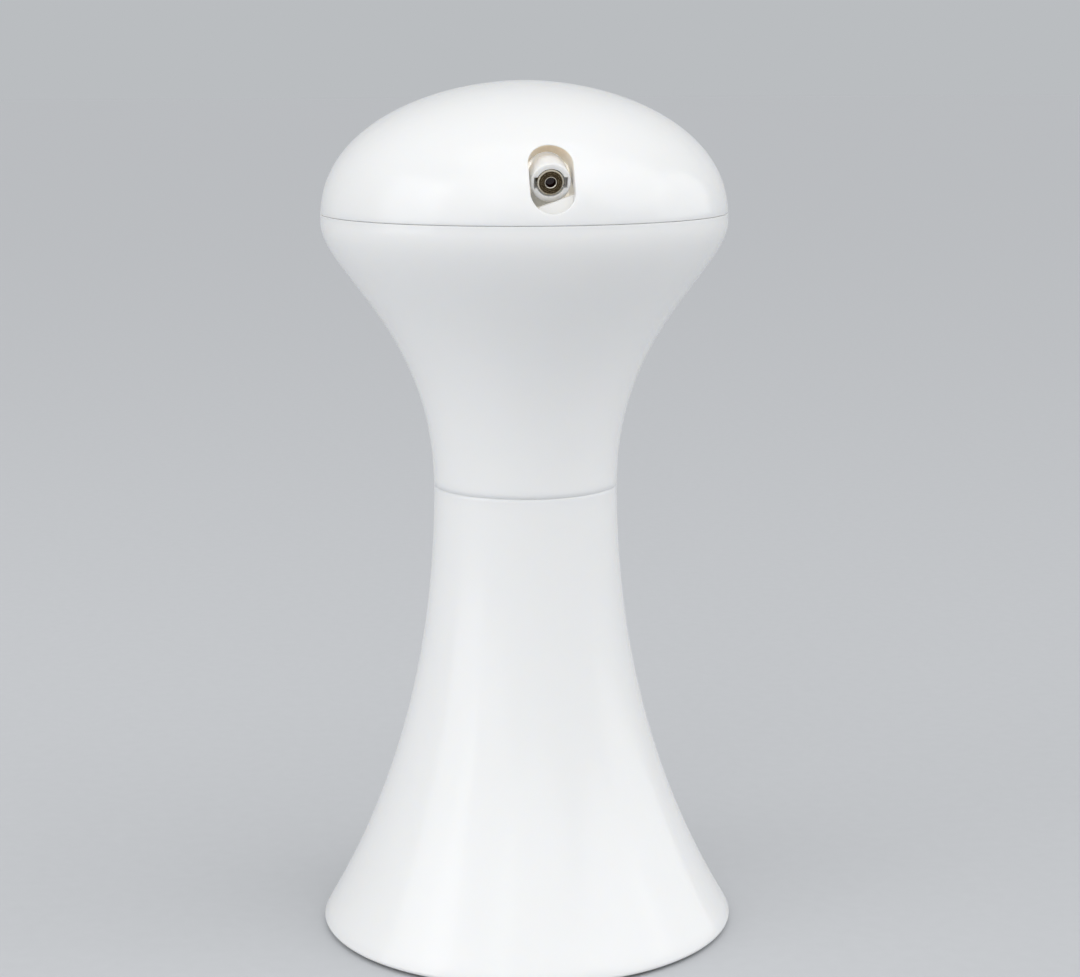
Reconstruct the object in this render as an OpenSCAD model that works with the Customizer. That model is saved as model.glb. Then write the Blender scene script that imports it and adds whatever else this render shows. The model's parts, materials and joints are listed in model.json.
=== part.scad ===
// Automatic cat laser toy: a flared white tower whose head turns on the neck and
// sweeps a small laser across the floor. The laser looks towards -Y. The origin is the
// centre of the plane that the feet stand on, and +Z is up. Millimetres.

/* [Base shell] */
// How far the rubber feet lift the shell
foot_proud = 0.8; // [0.6:0.1:1.2]
// Height of the base shell, from its rim to the neck seam
base_h = 111.4; // [106:0.5:118]
// Radius of the neck
neck_r = 22.7; // [22.2:0.1:24]
// Radius of the flare just above its rounded rim
flare_r = 50.4; // [49.5:0.1:53]
// Height of that place above the rim
flare_z = 3.3; // [2.5:0.1:4]
// Height at which the flare's upper and lower directions cross
knee_z = 51.1; // [49:0.1:54]
// Rounding of the bottom rim
rim_round = 0.8; // [0.5:0.1:1.2]
// Wall thickness of the three shells
wall = 2.2; // [1.8:0.1:2.4]

/* [Head shells] */
// Greatest radius of the head
head_r = 49.5; // [48.5:0.1:51]
// Height from the neck seam to the widest plane
head_lower_h = 65.05; // [63:0.1:68]
// Height of the dome above the widest plane
dome_h = 33.44; // [32.8:0.1:35]
// Height of the head seam above the widest plane
head_seam_up = 1.95; // [1.5:0.05:2.5]
// How far the neck keeps its direction
neck_pull = 39; // [36:0.5:41]
// How far the cheek keeps its direction
cheek_pull = 12.3; // [11:0.1:14]
// Gap between the standing and the turning shell
neck_gap = 0.5; // [0.4:0.05:0.8]
// Rounding of the lips on both sides of the neck gap
lip_round = 0.5; // [0.3:0.1:0.7]
// Bevel on both sides of the head seam
seam_bevel = 0.25; // [0.15:0.05:0.35]
// Height of the tongue that centres the dome
tongue_h = 3.6; // [3:0.1:4]
// Thickness of that tongue
tongue_t = 1.4; // [1:0.1:1.6]

/* [Laser slot] */
// Width of the slot
slot_w = 10.2; // [10:0.1:11]
// Length of the slot along the dome
slot_l = 17; // [16.6:0.1:18]
// Height of the slot's centre above the widest plane
slot_up = 11.8; // [11.5:0.1:12.2]
// Angle of the slot's walls above the horizontal
slot_tilt = 28; // [26:1:30]
// How far the slot's collar reaches in from the dome's wall
collar_in = 0.9; // [0.5:0.1:1]
// Thickness of the collar around the slot
collar_t = 1.2; // [1:0.1:1.5]

/* [Laser] */
// Diameter of the laser barrel
laser_d = 6; // [5.8:0.1:6.2]
// Length of the laser barrel
laser_l = 10.5; // [10:0.1:11]
// Diameter of the sleeve's front part
sleeve_d = 9.24; // [9:0.02:9.3]
// Length of the sleeve's front part
sleeve_front_l = 5.5; // [5:0.1:5.8]
// Diameter of the sleeve behind its front part
sleeve_rear_d = 7.6; // [7.4:0.1:7.8]
// Length of the whole sleeve
sleeve_l = 13.5; // [13:0.1:14]
// Angle of the laser below the horizontal
laser_pitch = 18; // [15:1:20]
// Distance of the sleeve's front face from the head's axis
laser_front_r = 44.5; // [44:0.1:44.8]
// Height of that face's centre above the widest plane
laser_up = 11.05; // [10.8:0.05:11.4]
// Distance of the tilt axis behind that face
pivot_back = 9; // [8.5:0.1:9.5]
// Diameter of the two trunnions
trunnion_d = 3; // [2.8:0.1:3.2]
// Diameter of the opening in front of the lens
aperture_d = 2.4; // [2:0.1:2.6]

/* [Battery bay] */
// Diameter of a cell
cell_d = 14.5; // [14:0.1:14.6]
// Length of a cell
cell_l = 50.5; // [49:0.5:51]
// Number of cells side by side
cells = 4; // [3:1:4]
// Room beside each cell
cell_gap = 0.4; // [0.3:0.1:0.5]
// Length of a contact spring under load
spring_l = 3.6; // [3:0.1:4]
// Diameter of the contact springs' wire
spring_wire = 0.6; // [0.5:0.1:0.7]
// Wall thickness of the bay
bay_wall = 1.4; // [1.2:0.1:1.6]
// Thickness of the base plate
plate_t = 2.2; // [2:0.1:2.4]

/* [Power button] */
// Height of the button above the shell's rim
button_z = 30; // [29:0.5:32]
// Diameter of the button
button_d = 11; // [10:0.5:12]
// How far the button stands out, which is also its travel
button_proud = 0.8; // [0.6:0.1:1]

/* [Control board] */
// Width of the control board
board_w = 34; // [32:1:36]
// Height of the control board
board_h = 19; // [18:0.5:19.5]
// Thickness of the two circuit boards
board_t = 1.6; // [1.2:0.1:1.6]
// Depth of the control board's front face below the shell's surface
board_depth = 9.5; // [9:0.1:10]

/* [Gear train] */
// Gear module
gear_m = 0.5; // [0.48:0.01:0.51]
// Teeth of each pinion
pinion_teeth = 12; // [12:1:12]
// Teeth of each wheel
wheel_teeth = 36; // [36:1:36]
// Tooth width
face_w = 3; // [2.5:0.1:3.2]
// Depth of the gearbox's lower plate below the neck seam
gearbox_drop = 52.2; // [51:0.2:53]
// Thickness of the gearbox's two plates
gearbox_t = 2; // [1.6:0.1:2.2]
// Diameter of the two gear pins
gear_pin_d = 2; // [1.8:0.1:2.2]

/* [Motor] */
// Diameter of the motor
motor_d = 20; // [19.6:0.1:20.4]
// Width of the motor across its flats
motor_flat = 15.1; // [15:0.1:15.6]
// Length of the motor's steel can
motor_can_l = 20; // [19:0.5:21]
// Length of the motor's end cap
motor_cap_l = 5; // [4:0.5:5.5]
// Diameter of the motor's shaft
motor_shaft_d = 2; // [1.8:0.1:2]

/* [Neck bearing] */
// Diameter of the spindle in its bearing
spindle_d = 14; // [13:0.2:15]
// Diameter of the spindle's bore for the wires
spindle_bore = 8; // [7:0.5:8.4]
// Length of the bearing bush
bush_l = 10; // [8:0.5:11]
// Wall thickness of the bush
bush_t = 2; // [1.5:0.1:2.5]

/* [Clearances] */
// Radial clearance of a running shaft
run = 0.05; // [0.03:0.01:0.08]
// Clearance of pieces that are put together and stay
fit = 0.15; // [0.1:0.05:0.2]
// Clearance between pieces that pass each other
pass = 0.3; // [0.25:0.05:0.4]

/* [Hidden] */
$fn = 64;

white = "#f4f4f2";
black = "#26262a";
steel = "#b9bcc0";
brass = "#b58a45";
green = "#2f6b3c";
ivory = "#e9e3d0";

// ---- Outlines of the shells, as [radius, height] from the bottom up ----

shell_z = foot_proud;
neck_z = shell_z + base_h;
wide_z = neck_z + head_lower_h;
seam_z = wide_z + head_seam_up;
base_top = neck_z - neck_gap / 2;
head_bottom = neck_z + neck_gap / 2;

// Points of a curve between two places, bent towards one or two others
function curve2(a, b, c, n) = [for (i = [0:n]) let (t = i / n)
    (1 - t) * (1 - t) * a + 2 * t * (1 - t) * b + t * t * c];
function curve3(a, b, c, d, n) = [for (i = [0:n]) let (t = i / n)
    pow(1 - t, 3) * a + 3 * t * pow(1 - t, 2) * b + 3 * t * t * (1 - t) * c + t * t * t * d];
function reversed(list) = [for (i = [len(list) - 1:-1:0]) list[i]];
// The same outline moved inwards by a distance, for outlines that run upwards
function inset(pts, d) = [for (i = [0:len(pts) - 1])
    let (a = pts[max(i - 1, 0)], b = pts[min(i + 1, len(pts) - 1)], t = (b - a) / norm(b - a))
    pts[i] + d * [-t[1], t[0]]];
// Radius of an outline at a height
function radius_at(pts, z) = lookup(z, [for (p = pts) [p[1], p[0]]]);

flare_slope = (flare_r - neck_r) / (knee_z - flare_z);
flare_lean = sqrt(1 + flare_slope * flare_slope);
rim_centre = flare_r + flare_slope * (flare_z - rim_round) - rim_round * flare_lean;
rim = [for (i = [0:6]) let (a = -90 + i * (90 + atan(flare_slope)) / 6)
    [rim_centre + rim_round * cos(a), shell_z + rim_round * (1 + sin(a))]];
flare = reversed(curve2([neck_r, neck_z], [neck_r, shell_z + knee_z],
    [flare_r, shell_z + flare_z], 28));
flare_foot = [flare_r + flare_slope * flare_z, shell_z];
base_side = concat([flare_foot], flare);

head_side = curve3([neck_r, neck_z], [neck_r, neck_z + neck_pull],
    [head_r, wide_z - cheek_pull], [head_r, wide_z], 26);
dome_bulge_r = 1.896;
dome_bulge_z = 2.2465;
function dome_radius(h) = head_r * pow(1 - pow(h / dome_h, dome_bulge_z), 1 / dome_bulge_r);
dome_start = asin(pow(head_seam_up / dome_h, dome_bulge_z / 2));
dome_side = [for (i = [0:22]) let (a = dome_start + i * (90 - dome_start) / 22)
    [head_r * pow(max(cos(a), 0), 2 / dome_bulge_r),
        wide_z + dome_h * pow(sin(a), 2 / dome_bulge_z)]];
seam_r = dome_radius(head_seam_up);

// Everything inside the base shell's surface, less a margin
module inside_base(margin) {
    side = inset(base_side, margin);
    rotate_extrude($fn = 128)
        polygon(concat([[0, shell_z], [radius_at(side, shell_z), shell_z]],
            [for (p = side) if (p[1] > shell_z) p], [[0, neck_z]]));
}

// Everything inside the head shell's surface, less a margin
module inside_head(margin) {
    side = inset(head_side, margin);
    rotate_extrude($fn = 128)
        polygon(concat([[0, neck_z]], side, [[0, wide_z]]));
}

// Places a child at an angle around the axis
module around(angle, radius, z = 0) {
    rotate([0, 0, angle]) translate([radius, 0, z]) children();
}

// A ring from one height to another
module ring(outer, inner, z0, z1) {
    rotate_extrude($fn = 96)
        polygon([[inner, z0], [outer, z0], [outer, z1], [inner, z1]]);
}

// A pan-head screw whose head sits on z = 0 and whose shank runs down from it
module screw(d, length, head_d, head_h) {
    translate([0, 0, -length]) cylinder(d = d, h = length + head_h / 2, $fn = 24);
    difference() {
        cylinder(d = head_d, h = head_h, $fn = 32);
        cross_recess(head_d, head_h);
    }
}

// The cross cut into a screw's head
module cross_recess(head_d, head_h) {
    for (turn = [0, 90])
        rotate([0, 0, turn]) translate([-head_d * 0.3, -head_d * 0.07, head_h * 0.55])
            cube([head_d * 0.6, head_d * 0.14, head_h]);
}

// ---- Involute gears ----

gear_add_pinion = 0.9 * gear_m;
gear_add_wheel = 0.75 * gear_m;
gear_ded = 1.25 * gear_m;
gear_play = 0.1;
pressure = 20;
gear_distance = gear_m * (pinion_teeth + wheel_teeth) / 2;

function involute(a) = tan(a) * 180 / PI - a;
// Half of a tooth's angle at a radius
function half_tooth(teeth, r) =
    let (pitch_r = gear_m * teeth / 2, base_r = pitch_r * cos(pressure),
        tooth = (gear_m * PI / 2 - gear_play) / (2 * pitch_r) * 180 / PI)
    tooth + involute(pressure) - involute(acos(min(1, base_r / max(r, base_r))));
function flank_radii(teeth, add) =
    let (pitch_r = gear_m * teeth / 2, base_r = max(pitch_r * cos(pressure), pitch_r - gear_ded),
        tip = pitch_r + add)
    [pitch_r - gear_ded, base_r, base_r + (tip - base_r) * 0.4, base_r + (tip - base_r) * 0.7, tip];
// A gear whose first tooth points at an angle
module gear(teeth, add, height, first = 0) {
    radii = flank_radii(teeth, add);
    linear_extrude(height)
        polygon([for (i = [0:teeth - 1]) let (mid = first + i * 360 / teeth)
            each concat(
                [for (r = radii) let (a = mid - half_tooth(teeth, r)) r * [cos(a), sin(a)]],
                [for (r = reversed(radii)) let (a = mid + half_tooth(teeth, r)) r * [cos(a), sin(a)]])]);
}

// Directions from the spindle to the other shafts, which stand on equal triangles
second_angle = 0;
first_angle = 60;
motor_angle = 120;
second_at = gear_distance * [cos(second_angle), sin(second_angle)];
first_at = gear_distance * [cos(first_angle), sin(first_angle)];
motor_at = gear_distance * [cos(motor_angle), sin(motor_angle)];

frame_z = neck_z - gearbox_drop;
deck_z = frame_z + gearbox_t;
level_gap = 1;
top_room = 4;
level = face_w + level_gap;
level_1 = deck_z + level_gap;
level_2 = level_1 + level;
level_3 = level_2 + level;
cover_z = level_3 + face_w + top_room;

// ---- Neck and spindle heights ----

deck_t = 2.5;
lip_depth = 2;
neck_deck_top = base_top - lip_depth;
bush_flange_t = 1.2;
washer_t = 0.6;
washer_top = neck_deck_top + bush_flange_t + washer_t;
head_floor_bottom = head_bottom + 0.3;
head_floor_t = 2.4;
head_floor_top = head_floor_bottom + head_floor_t;
spindle_r = spindle_d / 2;
bush_r = spindle_r + run + bush_t;
bush_bottom = neck_deck_top - bush_l;
clip_t = 1;
clip_depth = 1;
clip_top = bush_bottom - fit;
flange_r = spindle_r + 5.8;
flange_t = 2;
spindle_screw_r = spindle_r + 3.4;
sleeve_up = 3;
sleeve_drop = 1.6;
sleeve_base = cover_z + gearbox_t + sleeve_up;
sleeve_top = clip_top - clip_t - sleeve_drop;
seat_r = spindle_r - 1;
gear_seat_r = seat_r - 1;
foot_pin_r = 2;

// ---- Base shell ----

plate_z = shell_z + 0.3;
plate_top = plate_z + plate_t;
gearbox_screw_r = 21.5;
gearbox_screw_angles = [30, 165, 270];
gearbox_boss_r = 2.6;
gearbox_boss_h = 18;
base_boss_r = 3;
base_boss_h = 16;
boss_bite = 0.7;
boss_rib = 1.6;
base_screw_r = radius_at(inset(base_side, wall), plate_top + base_boss_h) - boss_bite;
base_screw_angles = [0, 90, 180, 270];
screw_d = 2.6;
pilot_d = 2.1;
small_screw_d = 2;
small_pilot_d = 1.6;
screw_l = 8;
screw_head_d = 4.6;
screw_head_h = 1.6;
base_head_d = 5.2;
base_head_h = 1;
small_head_d = 3.6;
small_head_h = 1.2;

button_r = radius_at(flare, shell_z + button_z);
button_lean = atan((radius_at(flare, shell_z + button_z - 1) - radius_at(flare, shell_z + button_z + 1)) / 2);
button_r2 = button_d / 2;
board_hole_x = board_w / 2 - 3;
board_bottom = -board_h / 2 + 3.5;
board_top = board_bottom + board_h;
board_holes = [for (x = [-1, 1], y = [board_bottom + 3, board_top - 3]) [x * board_hole_x, y]];
light_at = [0, board_top - 3.5];
light_d = 3;

// Places a child on the button's axis, with local +Z out of the shell
module on_back() {
    translate([0, button_r, shell_z + button_z]) rotate([button_lean - 90, 0, 0]) rotate([0, 0, 180])
        children();
}

// The place of a point given on the button's axis
function back_point(x, y, z) = [-x,
    button_r - y * sin(button_lean) + z * cos(button_lean),
    shell_z + button_z + y * cos(button_lean) + z * sin(button_lean)];

module base_shell() {
    color(white) {
        difference() {
            union() {
                difference() {
                    rotate_extrude($fn = 128) polygon(base_outline());
                    on_back() translate([0, 0, -wall * 3]) cylinder(r = button_r2 + pass, h = wall * 6);
                    on_back() translate([light_at[0], light_at[1], -wall * 3])
                        cylinder(d = light_d + 2 * fit, h = wall * 6, $fn = 32);
                }
                neck_deck();
                intersection() {
                    union() {
                        for (a = gearbox_screw_angles) around(a, gearbox_screw_r, deck_z) {
                            cylinder(r = gearbox_boss_r, h = gearbox_boss_h, $fn = 32);
                            translate([0, -boss_rib / 2, 0]) cube([flare_r, boss_rib, gearbox_boss_h]);
                        }
                        for (a = base_screw_angles)
                            around(a, base_screw_r, plate_top)
                                cylinder(r = base_boss_r, h = base_boss_h, $fn = 32);
                        for (p = board_holes)
                            on_back() translate([p[0], p[1], -board_depth])
                                cylinder(r = 2.2, h = board_depth, $fn = 32);
                    }
                    inside_base(wall / 2);
                }
            }
            for (a = gearbox_screw_angles)
                around(a, gearbox_screw_r, deck_z - 1) cylinder(d = pilot_d, h = 9, $fn = 24);
            for (a = base_screw_angles)
                around(a, base_screw_r, plate_top - 1) cylinder(d = pilot_d, h = 9, $fn = 24);
            for (p = board_holes)
                on_back() translate([p[0], p[1], -board_depth - 1])
                    cylinder(d = small_pilot_d, h = 5, $fn = 24);
        }
    }
}

// Outline of the base shell's wall, with its rounded rim and lip
function base_outline() =
    let (inner = inset(base_side, wall),
        lip = [for (i = [0:4]) [neck_r - lip_round * (1 - cos(i * 22.5)),
            base_top - lip_round * (1 - sin(i * 22.5))]])
    concat(rim, [for (p = flare) if (p[1] < base_top - lip_round) p], lip,
        [[neck_r - wall, base_top]],
        reversed([for (p = inner) if (p[1] < base_top - lip_depth && p[1] > shell_z) p]),
        [[radius_at(inner, shell_z + 0.01), shell_z]]);

// The deck that carries the neck bearing
module neck_deck() {
    ring(neck_r - wall / 2, bush_r + run, neck_deck_top - deck_t, neck_deck_top);
    ring(bush_r + run + 2, bush_r + run, bush_bottom, neck_deck_top);
}

// ---- Base plate and battery bay ----

contact_t = 0.4;
contact_w = 10;
bay_pitch = cell_d + cell_gap;
bay_w = cells * bay_pitch;
bay_l = cell_l + spring_l + 2 * contact_t + 0.4;
cell_z = plate_top + cell_d / 2 + 0.2;
bay_top = cell_z + cell_d / 2 + 0.3;
door_t = plate_t - 0.2;
door_pin_r = 0.6;
door_axis_x = -bay_l / 2 + 1;
door_axis_z = plate_z + door_t / 2;
foot_r = 4.5;
foot_sink = 0.8;
foot_room = 0.85;
foot_edge = 1.4;
foot_x = bay_l / 2 + bay_wall + foot_room + foot_r;
foot_at = flare_r - wall - pass - foot_edge - foot_r;
foot_y = sqrt(foot_at * foot_at - foot_x * foot_x);

module base_plate() {
    color(white) difference() {
        union() {
            intersection() {
                translate([0, 0, plate_z]) cylinder(r = flare_r, h = plate_t, $fn = 128);
                inside_base(wall + pass);
            }
            intersection() {
                translate([-bay_l / 2 - bay_wall, -bay_w / 2 - bay_wall, plate_z])
                    cube([bay_l + 2 * bay_wall, bay_w + 2 * bay_wall, bay_top + bay_wall - plate_z]);
                inside_base(wall + pass);
            }
        }
        intersection() {
            translate([-bay_l / 2, -bay_w / 2, plate_z - 1]) cube([bay_l, bay_w, bay_top - plate_z + 1]);
            inside_base(wall + pass + bay_wall);
        }
        for (side = [-1, 1])
            translate([door_axis_x, side * (bay_w / 2 - 1), door_axis_z]) rotate([side * -90, 0, 0])
                cylinder(r = door_pin_r + run, h = 2.2, $fn = 32);
        for (a = base_screw_angles) {
            around(a, base_screw_r, plate_z - 1) cylinder(d = screw_d + 2 * fit, h = plate_t + 2, $fn = 32);
            around(a, base_screw_r, plate_z - 1)
                cylinder(d = base_head_d + 2 * pass, h = base_head_h + 1, $fn = 32);
        }
        for (x = [-foot_x, foot_x], y = [-foot_y, foot_y])
            translate([x, y, plate_z - 1]) cylinder(r = foot_r + fit, h = foot_sink + 1, $fn = 48);
        for (y = [-1.5, 1.5])
            translate([bay_l / 2 - 4, y, bay_top - 1]) cylinder(r = 1.6, h = bay_wall + 2, $fn = 24);
    }
}

module rubber_feet() {
    color(black) for (x = [-foot_x, foot_x], y = [-foot_y, foot_y])
        translate([x, y, 0]) cylinder(r = foot_r, h = plate_z + foot_sink, $fn = 48);
}

module base_screws() {
    color(steel) for (a = base_screw_angles)
        around(a, base_screw_r, plate_z + base_head_h) rotate([180, 0, 0])
            screw(pilot_d - 0.02, screw_l, base_head_d, base_head_h);
}

door_x1 = bay_l / 2 - pass;
module battery_door() {
    color(white) {
        difference() {
            translate([door_axis_x, -bay_w / 2 + pass, plate_z])
                cube([door_x1 - door_axis_x, bay_w - 2 * pass, door_t]);
            for (i = [0:3])
                translate([door_x1 - 7 + i * 1.4, -8, plate_z - 0.5]) cube([0.7, 16, 1]);
        }
        translate([door_axis_x, -bay_w / 2 + pass, door_axis_z]) rotate([-90, 0, 0])
            cylinder(r = door_t / 2, h = bay_w - 2 * pass, $fn = 32);
        translate([door_axis_x, -bay_w / 2 - 1, door_axis_z]) rotate([-90, 0, 0])
            cylinder(r = door_pin_r, h = bay_w + 2, $fn = 32);
    }
}

// Places a child at one cell, with local +X towards its button end
module at_cell(i) {
    side = i % 2 == 0 ? 1 : -1;
    translate([0, (i - (cells - 1) / 2) * bay_pitch, cell_z]) scale_x(side) children();
}

// Turns every other cell end for end
module scale_x(side) {
    rotate([0, 0, side == 1 ? 0 : 180]) children();
}

cell_x0 = -bay_l / 2 + contact_t + spring_l + 0.1;
module battery_cells() {
    color("#3c4a63") for (i = [0:cells - 1])
        at_cell(i) translate([cell_x0, 0, 0]) rotate([0, 90, 0]) {
            cylinder(d = cell_d, h = cell_l - 1);
            translate([0, 0, cell_l - 1.1]) cylinder(d = 5.5, h = 1.1, $fn = 32);
        }
}

// A coil of round wire that widens along its length, as one tube
coil_turns = 3;
coil_steps = 10;
function coil_path(r0, r1, length) = let (n = coil_turns * coil_steps)
    [for (i = [0:n]) let (t = i / n, a = t * coil_turns * 360, r = r0 + (r1 - r0) * t)
        [t * length, r * cos(a), r * sin(a)]];
// Least gap between a coil's turns
function coil_gap(path) = min([for (i = [0:len(path) - 1], j = [i + coil_steps - 2:len(path) - 1])
    norm(path[i] - path[j])]) - spring_wire;
spring_path = coil_path(4.6, 3, spring_l - spring_wire - 0.1);

module contact_springs() {
    color(steel) for (i = [0:cells - 1])
        at_cell(i) translate([-bay_l / 2 + contact_t + spring_wire / 2 + 0.05, 0, 0])
            tube(spring_path, spring_wire / 2, 6);
    echo(spring_gap = coil_gap(spring_path));
}

module contact_plates() {
    color(steel) intersection() {
        for (i = [0:cells - 1]) at_cell(i)
            for (x = [-bay_l / 2 + 0.02, bay_l / 2 - contact_t - 0.02])
                translate([x, -contact_w / 2, -contact_w / 2]) cube([contact_t, contact_w, contact_w]);
        inside_base(wall + pass + bay_wall + fit);
    }
}

// ---- Power button and control board ----

button_flange_z = -wall - 1.9;
button_stem_z = button_flange_z - 1.8;
switch_top = button_stem_z - 0.8;

module power_button() {
    color("#dfe0e0") on_back() {
        translate([0, 0, button_flange_z])
            cylinder(r = button_r2, h = -button_flange_z + button_proud - 0.6);
        translate([0, 0, button_proud - 0.6]) rotate_extrude()
            polygon([[0, 0], [button_r2, 0], [button_r2 - 0.15, 0.35], [button_r2 - 0.6, 0.6], [0, 0.6]]);
        translate([0, 0, button_flange_z - 0.8]) cylinder(r = button_r2 + 1.4, h = 0.8);
        translate([0, 0, button_stem_z]) cylinder(r = 1.5, h = 1.2, $fn = 32);
    }
}

module switch_plunger() {
    color(black) on_back() translate([0, 0, switch_top - 0.9])
        cylinder(r = 1.7, h = button_stem_z - switch_top + 0.9, $fn = 32);
}

module tact_switch() {
    color(steel) on_back() difference() {
        translate([-3, -3, -board_depth]) cube([6, 6, board_depth + switch_top]);
        translate([0, 0, switch_top - 2.2]) cylinder(r = 1.7 + run, h = 3, $fn = 32);
    }
}

module control_board() {
    color(green) on_back() difference() {
        translate([-board_w / 2, board_bottom, -board_depth - board_t]) cube([board_w, board_h, board_t]);
        for (p = board_holes)
            translate([p[0], p[1], -board_depth - board_t - 1])
                cylinder(d = small_screw_d + 2 * fit, h = board_t + 2, $fn = 24);
    }
}

module board_parts() {
    color(black) on_back() translate([0, 0, -board_depth]) {
        translate([-9, -3.5, 0]) cube([5, 6, 1.5]);
        translate([6, -3.5, 0]) cube([4, 3, 1.8]);
        translate([6, 1.5, 0]) cube([2.4, 1.2, 0.8]);
        translate([-9, 4.5, 0]) cube([2.4, 1.2, 0.8]);
        translate([-8, -board_h / 2 + 4.2, 0]) cube([10, 1.6, 3]);
    }
}

module board_screws() {
    color(steel) on_back() for (p = board_holes)
        translate([p[0], p[1], -board_depth - board_t]) rotate([180, 0, 0])
            screw(small_pilot_d - 0.02, board_t + 3.6, small_head_d, 1);
}

module status_light() {
    color("#d9efe0") intersection() {
        on_back() translate([light_at[0], light_at[1], -board_depth])
            cylinder(d = light_d, h = board_depth + 2, $fn = 32);
        inside_base(0.15);
    }
}

// ---- Gearbox ----

frame_r = radius_at(inset(flare, wall + 1.2), deck_z);
cover_r = radius_at(inset(flare, wall + 1), cover_z + gearbox_t);
pillars = [[-16, -5.8], [7.5, -13], [-14.5, 12]];
pillar_r = 2;
wire_notch = [2, 20.6];

module gearbox_frame() {
    color(ivory) difference() {
        union() {
            translate([0, 0, frame_z]) cylinder(r = frame_r, h = gearbox_t, $fn = 96);
            for (p = pillars)
                translate([p[0], p[1], deck_z - 0.5])
                    cylinder(r = pillar_r, h = cover_z - deck_z + 0.5, $fn = 32);
        }
        for (p = [first_at, second_at])
            translate([p[0], p[1], frame_z - 1])
                cylinder(d = gear_pin_d + 0.04, h = gearbox_t + 2, $fn = 32);
        translate([0, 0, frame_z - 1]) cylinder(r = foot_pin_r + run, h = gearbox_t + 2, $fn = 32);
        translate([motor_at[0], motor_at[1], frame_z - 1])
            cylinder(r = motor_boss_r + fit, h = gearbox_t + 2, $fn = 48);
        for (s = [-1, 1])
            translate([motor_at[0], motor_at[1] + s * motor_screw_y, frame_z - 1])
                cylinder(d = small_screw_d + 2 * fit, h = gearbox_t + 2, $fn = 24);
        for (a = gearbox_screw_angles)
            around(a, gearbox_screw_r, frame_z - 1)
                cylinder(d = screw_d + 2 * fit, h = gearbox_t + 2, $fn = 24);
        for (p = pillars)
            translate([p[0], p[1], cover_z - 8]) cylinder(d = small_pilot_d, h = 9, $fn = 24);
        translate([wire_notch[0], wire_notch[1], frame_z - 1])
            cylinder(r = 2.2, h = gearbox_t + 2, $fn = 32);
    }
}

module gearbox_cover() {
    color(ivory) difference() {
        translate([0, 0, cover_z]) cylinder(r = cover_r, h = gearbox_t, $fn = 96);
        for (p = [first_at, second_at])
            translate([p[0], p[1], cover_z - 1])
                cylinder(d = gear_pin_d + 0.04, h = gearbox_t + 2, $fn = 32);
        translate([0, 0, cover_z - 1]) cylinder(r = gear_seat_r + pass, h = gearbox_t + 2);
        for (p = pillars)
            translate([p[0], p[1], cover_z - 1])
                cylinder(d = small_screw_d + 2 * fit, h = gearbox_t + 2, $fn = 24);
        translate([wire_notch[0], wire_notch[1], cover_z - 1])
            cylinder(r = 2.2, h = gearbox_t + 2, $fn = 32);
        for (a = gearbox_screw_angles)
            around(a, gearbox_screw_r, cover_z - 1) cylinder(r = 3, h = gearbox_t + 2, $fn = 32);
    }
}

module gearbox_screws() {
    color(steel) for (a = gearbox_screw_angles)
        around(a, gearbox_screw_r, frame_z) rotate([180, 0, 0])
            screw(pilot_d - 0.02, screw_l, screw_head_d, screw_head_h);
}

module cover_screws() {
    color(steel) for (p = pillars)
        translate([p[0], p[1], cover_z + gearbox_t])
            screw(small_pilot_d - 0.02, gearbox_t + 5.5, small_head_d, small_head_h);
}

module gear_pins() {
    color(steel) for (p = [first_at, second_at])
        translate([p[0], p[1], frame_z])
            cylinder(d = gear_pin_d, h = cover_z + gearbox_t - frame_z, $fn = 32);
}

hub_r = 1.9;
// A wheel and a pinion in one piece, on a hub that runs between the two plates
module compound_gear(at, wheel_z, wheel_first, pinion_first) {
    pinion_z = wheel_z + face_w;
    translate([at[0], at[1], 0]) difference() {
        union() {
            translate([0, 0, deck_z + pass]) cylinder(r = hub_r, h = cover_z - deck_z - 2 * pass, $fn = 32);
            translate([0, 0, wheel_z]) gear(wheel_teeth, gear_add_wheel, face_w, wheel_first);
            translate([0, 0, pinion_z - 0.01])
                gear(pinion_teeth, gear_add_pinion, level + 0.01, pinion_first);
        }
        translate([0, 0, deck_z]) cylinder(d = gear_pin_d + 2 * run, h = cover_z - deck_z, $fn = 32);
    }
}

// Two gears mesh where a tooth of one meets a gap of the other on the line between them
spindle_first = 0;
second_pinion_first = 180 + 180 / pinion_teeth;
second_wheel_first = 120;
first_pinion_first = -60 + 180 / pinion_teeth;
first_wheel_first = 180;
motor_pinion_first = 180 / pinion_teeth;

module first_compound_gear() {
    color(white) compound_gear(first_at, level_1, first_wheel_first, first_pinion_first);
}

module second_compound_gear() {
    color(white) compound_gear(second_at, level_2, second_wheel_first, second_pinion_first);
}

// ---- Motor ----

motor_boss_r = 3;
motor_screw_y = 6.5;
motor_wall = 0.8;
can_bottom = frame_z - motor_can_l;
cap_bottom = can_bottom - motor_cap_l;
rotor_r = 5.4;
rotor_l = 10;
rotor_up = 3.5;
rotor_core_r = 2.2;
rotor_core_l = 15;
rotor_gap = 0.6;
winding_slot = 1.6;
magnet_l = 13;
magnet_up = 2;
magnet_slot = 5;

// Outline of the motor across its axis
module motor_section(shrink) {
    intersection() {
        circle(d = motor_d - 2 * shrink, $fn = 64);
        square([motor_flat - 2 * shrink, motor_d], center = true);
    }
}

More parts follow.
